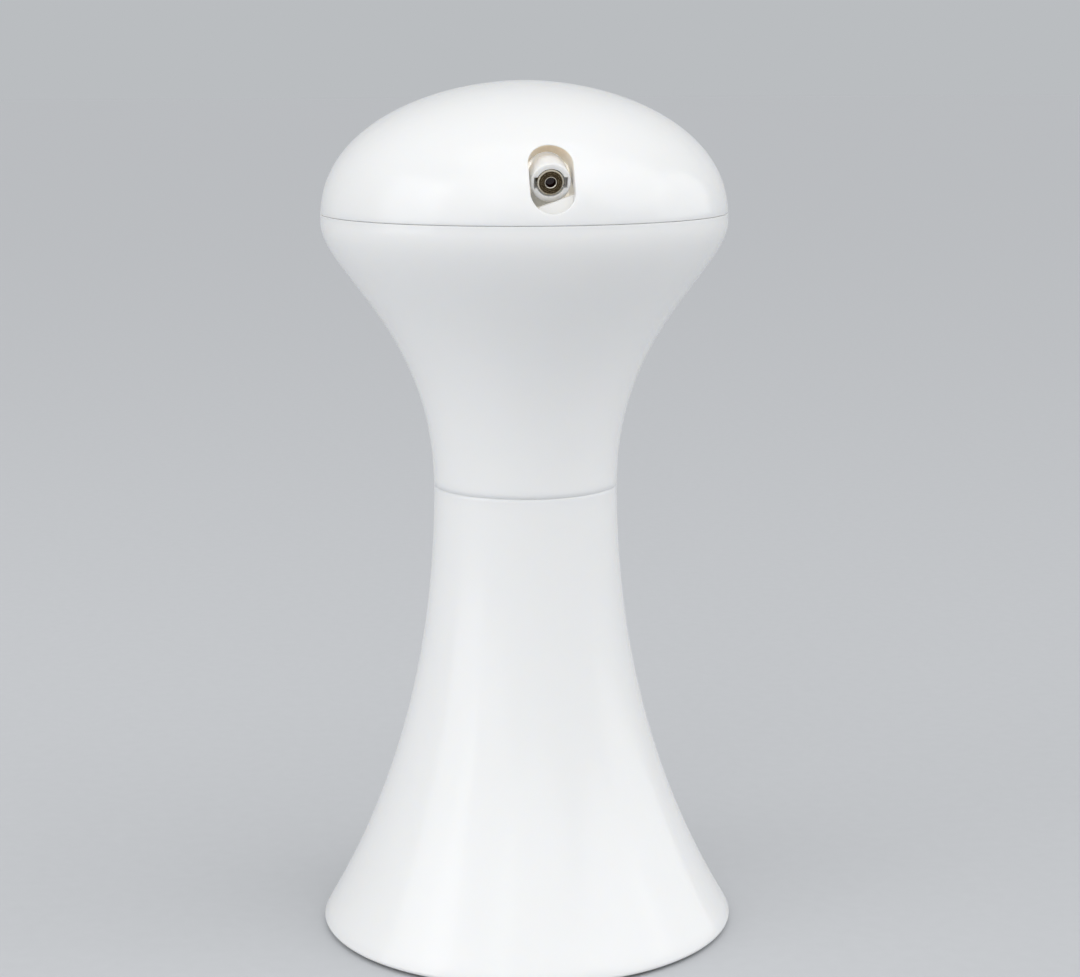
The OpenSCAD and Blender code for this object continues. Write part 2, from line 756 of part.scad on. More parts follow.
module motor_can() {
    color(steel) translate([motor_at[0], motor_at[1], 0]) difference() {
        union() {
            translate([0, 0, can_bottom]) linear_extrude(motor_can_l) motor_section(0);
            translate([0, 0, frame_z - 0.1]) cylinder(r = motor_boss_r, h = 1.6, $fn = 48);
        }
        translate([0, 0, can_bottom - 1]) linear_extrude(motor_can_l - motor_wall + 1)
            motor_section(motor_wall);
        translate([0, 0, can_bottom]) cylinder(d = motor_shaft_d + 2 * run, h = motor_can_l + 3, $fn = 32);
        for (s = [-1, 1])
            translate([0, s * motor_screw_y, can_bottom])
                cylinder(d = small_pilot_d, h = motor_can_l + 1, $fn = 24);
    }
}

module motor_magnets() {
    color("#4a4a4e") translate([motor_at[0], motor_at[1], can_bottom + magnet_up])
        linear_extrude(magnet_l) difference() {
            circle(d = motor_d - 2 * motor_wall - 0.1, $fn = 64);
            circle(r = rotor_r + rotor_gap, $fn = 64);
            square([motor_d, magnet_slot], center = true);
            for (s = [-1, 1]) translate([s * motor_flat, 0])
                square([motor_flat + 2 * motor_wall + 0.1, motor_d], center = true);
        }
}

module motor_end_cap() {
    color(black) translate([motor_at[0], motor_at[1], 0]) difference() {
        union() {
            translate([0, 0, cap_bottom + 1]) linear_extrude(motor_cap_l - 1) motor_section(0);
            translate([0, 0, cap_bottom]) cylinder(r = 4, h = 2, $fn = 48);
        }
        translate([0, 0, cap_bottom + 1.2])
            cylinder(d = motor_shaft_d + 2 * run, h = motor_cap_l, $fn = 32);
    }
}

module motor_screws() {
    color(steel) for (s = [-1, 1])
        translate([motor_at[0], motor_at[1] + s * motor_screw_y, deck_z])
            screw(small_pilot_d - 0.02, 3.2, 2.8, 0.7);
}

module motor_shaft() {
    color(steel) translate([motor_at[0], motor_at[1], cap_bottom + 1.4])
        cylinder(d = motor_shaft_d, h = level_1 + face_w + 0.6 - cap_bottom - 1.4, $fn = 32);
}

module motor_rotor() {
    color("#8a5a3a") translate([motor_at[0], motor_at[1], can_bottom + rotor_up]) difference() {
        union() {
            cylinder(r = rotor_r, h = rotor_l);
            translate([0, 0, (rotor_l - rotor_core_l + 1) / 2])
                cylinder(r = rotor_core_r, h = rotor_core_l, $fn = 48);
        }
        for (a = [0, 120, 240])
            rotate([0, 0, a]) translate([rotor_core_r + 1, -winding_slot / 2, -1])
                cube([rotor_r, winding_slot, rotor_l + 2]);
        translate([0, 0, -rotor_l]) cylinder(d = motor_shaft_d + 0.02, h = 3 * rotor_l, $fn = 32);
    }
}

module motor_pinion() {
    color(brass) translate([motor_at[0], motor_at[1], level_1]) difference() {
        gear(pinion_teeth, gear_add_pinion, face_w, motor_pinion_first);
        translate([0, 0, -1]) cylinder(d = motor_shaft_d + 0.02, h = face_w + 2, $fn = 32);
    }
}

// ---- Spindle, bearing and slip rings ----

module spindle() {
    color(ivory) difference() {
        union() {
            translate([0, 0, frame_z + pass]) cylinder(r = foot_pin_r, h = level_3 - frame_z, $fn = 48);
            translate([0, 0, level_3 - 0.4])
                cylinder(r = gear_seat_r, h = sleeve_base - level_3 + 0.4, $fn = 64);
            translate([0, 0, sleeve_base]) cylinder(r = seat_r, h = sleeve_top - sleeve_base, $fn = 64);
            translate([0, 0, sleeve_top])
                cylinder(r = spindle_r, h = head_floor_top - sleeve_top, $fn = 96);
            translate([0, 0, head_floor_top]) cylinder(r = flange_r, h = flange_t, $fn = 96);
        }
        translate([0, 0, sleeve_base - 1])
            cylinder(d = spindle_bore, h = head_floor_top - sleeve_base + 4, $fn = 64);
        ring(spindle_r + 1, spindle_r - clip_depth, clip_top - clip_t - run, clip_top + run);
        translate([gear_seat_r - 0.7, -spindle_r, level_3 - 1])
            cube([spindle_r, spindle_d, face_w + 1]);
        for (z = slip_ring_z)
            translate([0, 0, z + slip_ring_w / 2]) rotate([0, 90, 0])
                cylinder(r = slip_wire_r, h = spindle_r + 2, $fn = 24);
        for (a = [0, 120, 240])
            around(a, spindle_screw_r, head_floor_top - 1)
                cylinder(d = small_screw_d + 2 * fit, h = 4, $fn = 24);
    }
}

module spindle_gear() {
    color(white) translate([0, 0, level_3]) difference() {
        gear(wheel_teeth, gear_add_wheel, face_w, spindle_first);
        difference() {
            translate([0, 0, -1]) cylinder(r = gear_seat_r + 0.02, h = face_w + 2);
            translate([gear_seat_r - 0.68, -spindle_r, -1]) cube([spindle_r, spindle_d, face_w + 2]);
        }
    }
}

slip_ring_w = 2.5;
slip_ring_t = 0.7;
slip_sleeve_t = 1.5;
slip_sleeve_r = seat_r + slip_sleeve_t;
slip_ring_up = 2;
slip_ring_pitch = 5;
slip_wire_r = 0.8;
slip_ring_z = [sleeve_base + slip_ring_up, sleeve_base + slip_ring_up + slip_ring_pitch];

module slip_ring_sleeve() {
    color(black) difference() {
        ring(slip_sleeve_r, seat_r + 0.02, sleeve_base, sleeve_top - 0.05);
        for (z = slip_ring_z)
            translate([0, 0, z + slip_ring_w / 2]) rotate([0, 90, 0])
                cylinder(r = slip_wire_r, h = slip_sleeve_r + 2, $fn = 24);
    }
}

module slip_rings() {
    color(brass) for (z = slip_ring_z)
        ring(slip_sleeve_r + slip_ring_t, slip_sleeve_r + 0.02, z, z + slip_ring_w);
}

slip_r = slip_sleeve_r + slip_ring_t;
holder_y = slip_r + 1;
module brush_holder() {
    color(black) translate([-slip_r - 3, holder_y - 3.2, cover_z + gearbox_t])
        difference() {
            cube([5, 5, slip_ring_z[1] + slip_ring_w + 1 - cover_z - gearbox_t]);
            for (z = slip_ring_z)
                translate([3 - brush_gap - brush_t - 0.02, -1, z - cover_z - gearbox_t + 0.48])
                    cube([brush_t + 0.04, 4, slip_ring_w - 0.96]);
        }
}

brush_t = 0.4;
brush_gap = 0.08;
module brushes() {
    color(brass) for (z = slip_ring_z)
        translate([-slip_r - brush_gap - brush_t, -2.5, z + 0.5])
            cube([brush_t, holder_y + 2.3, slip_ring_w - 1]);
}

module neck_bearing() {
    color(ivory) {
        ring(bush_r, spindle_r + run, bush_bottom, neck_deck_top + 0.1);
        ring(bush_r + 2, spindle_r + run, neck_deck_top, neck_deck_top + bush_flange_t);
    }
}

module thrust_washer() {
    color(steel) ring(bush_r + 1.8, spindle_r + run, neck_deck_top + bush_flange_t, washer_top);
}

module retaining_clip() {
    color(steel) difference() {
        ring(spindle_r + 2.2, spindle_r - clip_depth + 0.02, clip_top - clip_t, clip_top);
        translate([0, -spindle_r * 0.6, clip_top - clip_t - 1])
            cube([spindle_r * 2, spindle_r * 1.2, clip_t + 2]);
    }
}

module spindle_screws() {
    color(steel) for (a = [0, 120, 240])
        around(a, spindle_screw_r, head_floor_top + flange_t)
            screw(small_pilot_d - 0.02, flange_t + 2, small_head_d - 0.2, small_head_h);
}

// ---- Head shells ----

chassis_z = wide_z - 11;
chassis_t = 2;
chassis_hole_r = 6;
chassis_hole_at = 24;
board_post_r = 1.4;
board_post_h = 3;
board_post_x = 9;
board_post_y = 5;
yoke_t = 2;
yoke_foot_l = 14;
yoke_arm_l = 6;
yoke_screw_x = 6;
yoke_screw_y = 9.5;
yoke_wall_t = 0.8;
apron_drop = 4.9;
apron_rise = 18.8;
chassis_r = radius_at(inset(head_side, wall + 0.8), chassis_z - 1);
chassis_screw_r = 36;
chassis_screw_angles = [60, 180, 300];
tongue_r = radius_at(inset(dome_side, wall + fit), seam_z + tongue_h);

// Outline of the head shell's wall, from its lip up to the seam and the tongue
function head_outline() =
    let (inner = inset(head_side, wall),
        lip = [for (i = [0:4]) [neck_r - lip_round * (1 - sin(i * 22.5)),
            head_bottom + lip_round * (1 - cos(i * 22.5))]])
    concat([[neck_r - wall, head_bottom]], lip,
        [for (p = head_side) if (p[1] > head_bottom + lip_round) p],
        [[dome_radius(head_seam_up / 2), wide_z + head_seam_up / 2],
            [seam_r, seam_z - seam_bevel], [seam_r - seam_bevel, seam_z], [tongue_r, seam_z],
            [tongue_r, seam_z + tongue_h], [tongue_r - tongue_t, seam_z + tongue_h],
            [tongue_r - tongue_t, wide_z], [head_r - wall, wide_z - tongue_t]],
        reversed([for (p = inner) if (p[1] < wide_z - tongue_t - 1 && p[1] > head_floor_bottom) p]));

module head_shell() {
    color(white) difference() {
        union() {
            rotate_extrude($fn = 128) polygon(head_outline());
            ring(neck_r - wall / 2, spindle_r + run, head_floor_bottom, head_floor_top);
            ring(bush_r + 3, spindle_r + run, washer_top + run, head_floor_bottom + 0.1);
            intersection() {
                for (a = chassis_screw_angles)
                    around(a, chassis_screw_r, wide_z - 40)
                        cylinder(r = 3, h = chassis_z - wide_z + 40, $fn = 32);
                inside_head(wall / 2);
            }
        }
        for (a = [0, 120, 240])
            around(a, spindle_screw_r, head_floor_top - 2.2) cylinder(d = small_pilot_d, h = 3, $fn = 24);
        for (a = chassis_screw_angles)
            around(a, chassis_screw_r, chassis_z - 7) cylinder(d = pilot_d, h = 8, $fn = 24);
    }
}

slot_at = [0, -44.83, wide_z + slot_up];
// Places a child on the slot's axis, with local +Z out of the dome and local Y up
module on_slot() {
    translate(slot_at) rotate([90 - slot_tilt, 0, 0]) children();
}

// A long hole with round ends
module obround(w, l, h) {
    for (s = [-1, 1]) translate([0, s * (l - w) / 2, 0]) cylinder(d = w, h = h, $fn = 48);
    translate([-w / 2, -(l - w) / 2, 0]) cube([w, l - w, h]);
}

module dome_solid(margin) {
    side = inset(dome_side, margin);
    rotate_extrude($fn = 128)
        polygon(concat([[0, seam_z]], [[side[0][0], seam_z]],
            [for (i = [1:len(side) - 2]) side[i]], [[0, wide_z + dome_h - margin]]));
}

module dome_cover() {
    color(white) difference() {
        union() {
            difference() {
                rotate_extrude($fn = 128)
                    polygon(concat([[0, seam_z], [seam_r - seam_bevel, seam_z], [seam_r, seam_z + seam_bevel]],
                        [for (i = [1:len(dome_side) - 2]) dome_side[i]], [[0, wide_z + dome_h]]));
                translate([0, 0, -0.01]) dome_solid(wall);
            }
            intersection() {
                on_slot() translate([0, 0, -8]) obround(slot_w + 2 * collar_t, slot_l + 2 * collar_t, 12);
                difference() {
                    dome_solid(wall / 2);
                    dome_solid(wall + collar_in);
                    translate([-slot_w, -head_r - 1, seam_z - 1])
                        cube([2 * slot_w, head_r, tongue_h + 1 + pass]);
                }
            }
        }
        on_slot() translate([0, 0, -10]) obround(slot_w, slot_l, 20);
    }
}

module head_chassis() {
    color(ivory) difference() {
        translate([0, 0, chassis_z]) cylinder(r = chassis_r, h = chassis_t, $fn = 96);
        translate([0, 0, chassis_z - 1]) cylinder(r = chassis_hole_r, h = chassis_t + 2);
        for (a = chassis_screw_angles)
            around(a, chassis_screw_r, chassis_z - 1)
                cylinder(d = screw_d + 2 * fit, h = chassis_t + 2, $fn = 24);
        for (x = [-1, 1])
            translate([x * yoke_screw_x, pivot_y + yoke_screw_y, chassis_z - 1])
                cylinder(d = small_pilot_d, h = chassis_t + 2, $fn = 24);
        for (a = [90, 210, 330])
            around(a, chassis_hole_at, chassis_z - 1) cylinder(r = chassis_hole_r, h = chassis_t + 2);
    }
    color(ivory) for (x = [-board_post_x, board_post_x], y = [-board_post_y, board_post_y])
        translate([x, y, chassis_z + chassis_t - 0.1])
            cylinder(r = board_post_r, h = board_post_h + 0.1, $fn = 24);
}

module chassis_screws() {
    color(steel) for (a = chassis_screw_angles)
        around(a, chassis_screw_r, chassis_z + chassis_t)
            screw(pilot_d - 0.02, screw_l, screw_head_d, screw_head_h);
}

// ---- Tilting laser ----

laser_front = [0, -laser_front_r, wide_z + laser_up];
pivot_y = -laser_front_r + pivot_back * cos(laser_pitch);
pivot_z = laser_front[2] + pivot_back * sin(laser_pitch);
laser_recess = 0.5;
arm_x = sleeve_rear_d / 2 + 1.1;
arm_t = 2.2;
lead_bore = 1.6;

// Places a child on the laser's axis, with local +Z along the beam
module on_laser() {
    translate(laser_front) rotate([90 + laser_pitch, 0, 0]) children();
}

module laser_sleeve() {
    color(white) difference() {
        union() {
            on_laser() {
                translate([0, 0, -sleeve_front_l])
                    cylinder(d = sleeve_d, h = sleeve_front_l - 0.35, $fn = 64);
                translate([0, 0, -0.35]) rotate_extrude($fn = 64)
                    polygon([[0, 0], [sleeve_d / 2, 0], [sleeve_d / 2 - 0.1, 0.22],
                        [sleeve_d / 2 - 0.35, 0.35], [0, 0.35]]);
                translate([0, 0, -sleeve_l]) cylinder(d = sleeve_rear_d, h = sleeve_l - 1, $fn = 64);
            }
            translate([-arm_x - arm_t, pivot_y, pivot_z]) rotate([0, 90, 0])
                cylinder(d = trunnion_d, h = 2 * (arm_x + arm_t), $fn = 48);
        }
        on_laser() {
            translate([0, 0, -sleeve_l - 1]) cylinder(d = laser_d + 0.1, h = sleeve_l + 2, $fn = 64);
            for (s = [0, 180])
                rotate([0, 0, s]) translate([laser_d / 2 - 0.4, -1.25, -3]) cube([1.25, 2.5, 4]);
        }
        translate([-arm_x - arm_t - 1, pivot_y, pivot_z]) rotate([0, 90, 0])
            cylinder(d = lead_bore, h = arm_x + arm_t, $fn = 32);
    }
}

module laser_barrel() {
    color(brass) on_laser() translate([0, 0, -laser_recess]) difference() {
        union() {
            translate([0, 0, -laser_l]) cylinder(d = laser_d, h = laser_l - 0.25, $fn = 64);
            translate([0, 0, -0.25]) rotate_extrude($fn = 64)
                polygon([[0, 0], [laser_d / 2, 0], [laser_d / 2 - 0.25, 0.25], [0, 0.25]]);
        }
        translate([0, 0, -0.8]) cylinder(d = aperture_d, h = 2, $fn = 48);
        translate([0, 0, -laser_l - 1]) cylinder(d = laser_d - 1.4, h = laser_l + 0.2, $fn = 48);
    }
}

module laser_lens() {
    color("#5a1a1e", 0.8) on_laser() translate([0, 0, -laser_recess - 1.7])
        cylinder(d = laser_d - 1.44, h = 0.88, $fn = 48);
}

module laser_diode_board() {
    color(green) on_laser() translate([0, 0, -laser_recess - laser_l]) {
        translate([-2, -0.5, -1.8]) cube([4, 1, 5]);
        translate([0, 0, 2.8]) cylinder(d = laser_d - 1.44, h = 1.4, $fn = 48);
        translate([0, 0, 4]) cylinder(d = 3, h = 1.6, $fn = 48);
    }
}

tail_r = sleeve_l - pivot_back;
leaf_w = 5;
leaf_t = 0.3;
leaf_foot = 2;
leaf_y = pivot_y + norm([tail_r, sleeve_rear_d / 2]) + 0.1;
leaf_z = chassis_z + chassis_t + yoke_t;
yoke_w = 2 * (arm_x + arm_t);

// The low wall in front of the yoke, which closes the slot below the sleeve
module yoke_apron() {
    foot_z = chassis_z + chassis_t;
    rise = tan(apron_rise) * yoke_w / 2;
    top = laser_front[2] - apron_drop - foot_z;
    translate([0, pivot_y - yoke_arm_l / 2 + 0.05, foot_z]) rotate([90, 0, 0])
        linear_extrude(yoke_wall_t + 0.05)
            polygon([[-yoke_w / 2, 0], [yoke_w / 2, 0], [yoke_w / 2, top + rise], [-yoke_w / 2, top - rise]]);
}

module laser_yoke() {
    color(ivory) difference() {
        union() {
            yoke_apron();
            translate([-yoke_w / 2, leaf_y + leaf_t + pass, chassis_z + chassis_t])
                cube([yoke_w, yoke_wall_t, pivot_z + tail_r - chassis_z - chassis_t]);
            translate([-yoke_w / 2, pivot_y - yoke_arm_l / 2, chassis_z + chassis_t])
                cube([yoke_w, yoke_foot_l, yoke_t]);
            for (s = [-1, 1]) translate([s * (arm_x + arm_t / 2), pivot_y, 0]) {
                translate([-arm_t / 2, -yoke_arm_l / 2, chassis_z + chassis_t])
                    cube([arm_t, yoke_arm_l, pivot_z - chassis_z - chassis_t]);
                translate([-arm_t / 2, 0, pivot_z]) rotate([0, 90, 0])
                    cylinder(d = yoke_arm_l, h = arm_t, $fn = 48);
            }
        }
        translate([-arm_x - arm_t - 1, pivot_y, pivot_z]) rotate([0, 90, 0])
            cylinder(d = trunnion_d + 2 * run, h = 2 * (arm_x + arm_t) + 2, $fn = 48);
        for (x = [-1, 1])
            translate([x * yoke_screw_x, pivot_y + yoke_screw_y, chassis_z])
                cylinder(d = small_screw_d + 2 * fit, h = chassis_t + yoke_t + 2, $fn = 24);
    }
}

module yoke_screws() {
    color(steel) for (x = [-1, 1])
        translate([x * yoke_screw_x, pivot_y + yoke_screw_y, chassis_z + chassis_t + yoke_t])
            screw(small_pilot_d - 0.02, chassis_t + yoke_t - 0.1, small_head_d - 0.4, small_head_h);
}

// A leaf that presses on the sleeve's tail and keeps the laser at the angle it is set to
module tilt_spring() {
    color(steel) {
        translate([-leaf_w / 2, leaf_y, leaf_z]) cube([leaf_w, leaf_t, pivot_z + tail_r - leaf_z]);
        translate([-leaf_w / 2, leaf_y - leaf_foot, leaf_z]) cube([leaf_w, leaf_foot + leaf_t, leaf_t]);
    }
}

laser_board_w = 24;
laser_board_l = 16;
module laser_board() {
    color(green) translate([-laser_board_w / 2, -laser_board_l / 2, chassis_z + chassis_t + board_post_h])
        cube([laser_board_w, laser_board_l, board_t]);
    color(black) translate([0, 0, chassis_z + chassis_t + board_post_h + board_t]) {
        translate([2, -2, 0]) cube([4, 5, 1.5]);
        translate([-8, 1, 0]) cube([3, 1.6, 1]);
    }
}

// ---- Wires ----

wire_d = 1.2;
function cross3(a, b) = [a[1] * b[2] - a[2] * b[1], a[2] * b[0] - a[0] * b[2], a[0] * b[1] - a[1] * b[0]];
function unit(v) = v / norm(v);
function along(path, i) = unit(path[min(i + 1, len(path) - 1)] - path[max(i - 1, 0)]);
// A direction across the path at each point, carried on from the one before
function across(path, i, side) =
    i >= len(path) ? [] :
    let (t = along(path, i), s = unit(side - (side * t) * t)) concat([s], across(path, i + 1, s));
// A round tube along a path
module tube(path, r, sides) {
    t0 = along(path, 0);
    start = abs(t0[2]) < 0.8 ? [0, 0, 1] : [1, 0, 0];
    sideways = across(path, 0, start);
    n = len(path);
    points = [for (i = [0:n - 1]) let (t = along(path, i), u = sideways[i], v = cross3(t, u))
        for (k = [0:sides - 1]) let (a = k * 360 / sides) path[i] + r * (cos(a) * u + sin(a) * v)];
    walls = [for (i = [0:n - 2], k = [0:sides - 1]) let (k2 = (k + 1) % sides)
        each [[i * sides + k, (i + 1) * sides + k, (i + 1) * sides + k2],
            [i * sides + k, (i + 1) * sides + k2, i * sides + k2]]];
    ends = [for (k = [1:sides - 2])
        each [[0, k, k + 1], [(n - 1) * sides, (n - 1) * sides + k + 1, (n - 1) * sides + k]]];
    polyhedron(points, concat(walls, ends));
}

// A smooth path through a few points
function smooth(p, n) = let (m = len(p) - 1) concat([for (i = [0:m - 1], j = [0:n - 1])
    let (t = j / n, a = p[max(i - 1, 0)], b = p[i], c = p[i + 1], d = p[min(i + 2, m)])
    0.5 * (2 * b + (c - a) * t + (2 * a - 5 * b + 4 * c - d) * t * t + (3 * b - a - 3 * c + d) * t * t * t)],
    [p[m]]);

// The same path, with a short straight stretch at each end
function square_ended(p) = let (m = len(p) - 1, a = p[0] + 0.3 * (p[1] - p[0]), b = p[m] + 0.3 * (p[m - 1] - p[m]))
    concat([p[0]], smooth(concat([a], [for (i = [1:m - 1]) p[i]], [b]), 4), [p[m]]);

module wire(points) {
    tube(square_ended(points), wire_d / 2, 8);
}

module base_wires() {
    board_back = -board_depth - board_t;
    color("#b02a2a") for (s = [-1, 1]) {
        // from the motor
        wire([[motor_at[0] + s * 5, motor_at[1] + 2, cap_bottom + 0.95],
            [motor_at[0] + s * 5, motor_at[1] + 2, cap_bottom - 3],
            back_point(2 - s * 4, 2, board_back - 4), back_point(2 - s * 4, 2, board_back - 0.05)]);
        // from the battery bay
        wire([[bay_l / 2 - 4, s * 1.5, bay_top], [bay_l / 2 - 4, s * 1.5, bay_top + bay_wall + 2],
            [14 + s * 1.2, 12 + s * 1.5, bay_top + bay_wall + 4], back_point(-10 - s * 2, 0, board_back - 4),
            back_point(-10 - s * 2, 0, board_back - 0.05)]);
        // from the brushes, past the gearbox
        wire([[-slip_r - 1, holder_y + 1.85, slip_ring_z[0] + 2 + s * 1.2],
            [-slip_r - 1, holder_y + 3.5, slip_ring_z[0] + 2 + s * 1.2],
            [wire_notch[0] + s * 1, wire_notch[1] - 0.4, cover_z + gearbox_t + 1],
            [wire_notch[0] + s * 1, wire_notch[1] - 0.4, frame_z],
            back_point(-wire_notch[0] - s * 2, board_top - 2, board_back - 3.5),
            back_point(-wire_notch[0] - s * 2, board_top - 2, board_back - 0.05)]);
    }
}

module head_wires() {
    board_under = chassis_z + chassis_t + board_post_h;
    color("#b02a2a") for (s = [-1, 1])
        wire([[s * 1.2, 0, sleeve_base + 1], [s * 1.2, 0, neck_z - 20], [s * 1.2, 0, neck_z + 10],
            [s * 1.2, 0.5, chassis_z - 12], [s * 1.2, 0, board_under - 0.02]]);
}

module laser_leads() {
    board_over = chassis_z + chassis_t + board_post_h + board_t;
    color("#b02a2a") tube(square_ended([[-10, -6, board_over + 0.05], [-10, -6, board_over + 4],
        [-11, pivot_y + 6, pivot_z - 2], [-arm_x - arm_t - 2.6, pivot_y, pivot_z],
        [-arm_x - arm_t + 1, pivot_y, pivot_z]]), 0.5, 8);
}

base_shell();
base_plate();
rubber_feet();
base_screws();
battery_door();
battery_cells();
contact_springs();
contact_plates();
control_board();
board_parts();
board_screws();
tact_switch();
switch_plunger();
status_light();
power_button();
gearbox_frame();
gearbox_cover();
gearbox_screws();
cover_screws();
gear_pins();
motor_can();
motor_magnets();
motor_end_cap();
motor_screws();
motor_shaft();
motor_rotor();
motor_pinion();
first_compound_gear();
second_compound_gear();
spindle();
spindle_gear();
slip_ring_sleeve();
slip_rings();
brush_holder();
brushes();
neck_bearing();
thrust_washer();
retaining_clip();
spindle_screws();
head_shell();
dome_cover();
head_chassis();
chassis_screws();
laser_yoke();
yoke_screws();
laser_sleeve();
laser_barrel();
laser_lens();
laser_diode_board();
tilt_spring();
laser_board();
laser_leads();
head_wires();
base_wires();
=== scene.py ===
"""Automatic cat laser toy: how its moulded shells, its laser and its underside look.

A white tower stands on a flared foot, its head turns on the neck, and a small laser tilts in
the head's slot. Sizes are written in millimetres and become metres when a mesh is made. The
laser looks towards -Y, and the power button and its light are on the back, at +Y.
"""
import json
import math

import bmesh
import bpy
from mathutils import Matrix, Vector


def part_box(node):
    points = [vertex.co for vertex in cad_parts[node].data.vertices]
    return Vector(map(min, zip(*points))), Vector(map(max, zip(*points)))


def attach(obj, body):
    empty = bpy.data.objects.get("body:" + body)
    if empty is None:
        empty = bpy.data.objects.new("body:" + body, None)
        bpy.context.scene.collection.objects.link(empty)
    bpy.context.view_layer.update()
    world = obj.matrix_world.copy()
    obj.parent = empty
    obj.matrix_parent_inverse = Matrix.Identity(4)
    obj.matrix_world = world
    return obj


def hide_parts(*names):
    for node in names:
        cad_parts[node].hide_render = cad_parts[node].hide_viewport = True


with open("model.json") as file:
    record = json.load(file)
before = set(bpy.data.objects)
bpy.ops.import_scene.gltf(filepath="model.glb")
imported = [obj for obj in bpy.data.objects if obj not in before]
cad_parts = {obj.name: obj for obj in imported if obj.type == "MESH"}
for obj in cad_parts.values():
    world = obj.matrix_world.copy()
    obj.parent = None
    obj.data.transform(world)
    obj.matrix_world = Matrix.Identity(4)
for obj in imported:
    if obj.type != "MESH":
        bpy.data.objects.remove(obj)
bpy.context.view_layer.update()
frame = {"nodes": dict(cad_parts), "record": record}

MM = 0.001
TURN = 2 * math.pi

# ---- Sizes of the three shells, in millimetres ----

WALL = 2.2
NECK_R = 22.7
FLARE_R = 50.4
FLARE_UP = 3.3
KNEE_UP = 51.1
RIM_ROUND = 0.9
NECK_PULL = 39.0
CHEEK_PULL = 12.3
HEAD_R = 49.5
DOME_H = 33.44
DOME_BULGE_R = 1.896
DOME_BULGE_Z = 2.2465
FIT = 0.15
RUN = 0.05
SHELL_TURNS = 288
CHEEK_STEPS = 130
# A rounded edge reaches this many times its width into its hole
EDGE_DEPTH = 1.2

# The seam that turns: the head's thin skirt hangs just over the base's rounded rim, with a rib
# on the base behind it
CAD_NECK_GAP = 0.5
SKIRT_DROP = 0.08
LIP_DOWN = 1.15
LIP_IN = 0.29
HEAD_LIP_UP = 0.2
HEAD_LIP_IN = 0.03
LIP_TURN = 60
RIB_OUT_R = 22.39
RIB_IN_R = 21.2
RIB_UP = 0.3
RIB_CHAMFER = 0.1
REBATE_R = 22.52
REBATE_OVER_RIB = 0.1
REBATE_IN_RIB = 0.3
DECK_DROP = 2.25
DECK_T = 2.5
BEARING_R = 9.1
BEARING_WALL = 2.0
BEARING_L = 10.0
FLOOR_UP = 0.55
FLOOR_T = 2.4
SPINDLE_HOLE_R = 7.05
THRUST_R = 12.05
THRUST_DROP = 0.95

# The seam between the two head shells
SEAM_UP = 1.76
SEAM_ROUND = 0.22
SEAM_STEPS = 6
SEAM_GAP = 0.08
SEAM_LAND = 0.8
TONGUE_H = 3.6
TONGUE_T = 1.4
TONGUE_CHAMFER = 0.3
TONGUE_ROOT = 1.0
BAND_HEIGHTS = (0.4, 0.8, 1.2, 1.5)

# The laser's slot
SLOT_W = 10.2
SLOT_L = 17.0
SLOT_UP = 11.8
SLOT_TILT = math.radians(28)
SLOT_OUT = 44.83
SLOT_ROUND = 0.35
COLLAR_T = 1.2
# Its hood inside the dome: deep at the sides, from a little below the slot's middle, and shorter
# at the top, where the laser's tail swings up
HOOD_IN = 2.9
HOOD_FROM = -2
HOOD_RAMP = 3
HOOD_CUT_FROM = 6.5
HOOD_CUT_SLOPE = 0.85
# Distances from the slot's outline to the close rings around it, outside and inside the dome
OUTER_GROWS = (SLOT_ROUND, 0.6, 0.95, 1.4)
INNER_GROWS = (COLLAR_T, 1.4)
RING_SPREAD = 2.6

# ---- Heights that the frame gives, and the places of the laser and the button ----

SHELL_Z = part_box("base_shell")[0].z / MM
NECK_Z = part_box("base_shell")[1].z / MM + CAD_NECK_GAP / 2
TOP_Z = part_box("dome_cover")[1].z / MM
WIDE_Z = TOP_Z - DOME_H
SEAM_Z = WIDE_Z + SEAM_UP

LASER_PITCH = math.radians(18)
LASER_FRONT = Vector((0, -44.5, WIDE_Z + 11.05))
ALONG_LASER = Matrix.Translation(LASER_FRONT) @ Matrix.Rotation(math.pi / 2 + LASER_PITCH, 4, "X")
PIVOT_BACK = 9.0

BUTTON_UP = 30.0
BUTTON_LEAN = math.radians(21.6284)
LIGHT_UP = 9.5


# ---- Outlines, as (radius, height) from the bottom up ----

def blend_points(points, t):
    """A place on the curve that bends from the first point to the last."""
    while len(points) > 1:
        points = [a.lerp(b, t) for a, b in zip(points, points[1:])]
    return points[0]


def curve(points, steps):
    """A smooth curve between the first and the last point, drawn by those between."""
    corners = [Vector(p) for p in points]
    return [blend_points(corners, i / steps) for i in range(steps + 1)]


def inset(outline, distance):
    """The same outline moved towards the inside of the shell."""
    last = len(outline) - 1
    shifted = []
    for i, point in enumerate(outline):
        along = (outline[min(i + 1, last)] - outline[max(i - 1, 0)]).normalized()
        shifted.append(point + distance * Vector((-along.y, along.x)))
    return shifted


def radius_at(outline, z):
    """Radius of an outline at a height, between its points."""
    for low, high in zip(outline, outline[1:]):
        if low.y <= z <= high.y:
            return low.x + (high.x - low.x) * (z - low.y) / max(high.y - low.y, 1e-9)
    return (outline[0] if z < outline[0].y else outline[-1]).x


def arc(centre, radius, start, end, steps):
    """Points round a centre, with the angles in degrees."""
    turns = [math.radians(start + (end - start) * i / steps) for i in range(steps + 1)]
    x, y = centre
    return [Vector((x + radius * math.cos(a), y + radius * math.sin(a))) for a in turns]


def soft_edge(steps):
    """Points from (0, 0) to (1, 1) on an arc that starts upright and stops short of level."""
    points = [Vector((1 - p.x, p.y)) for p in arc((0, 0), 1, 0, LIP_TURN, steps)]
    return [Vector((p.x / points[-1].x, p.y / points[-1].y)) for p in points]


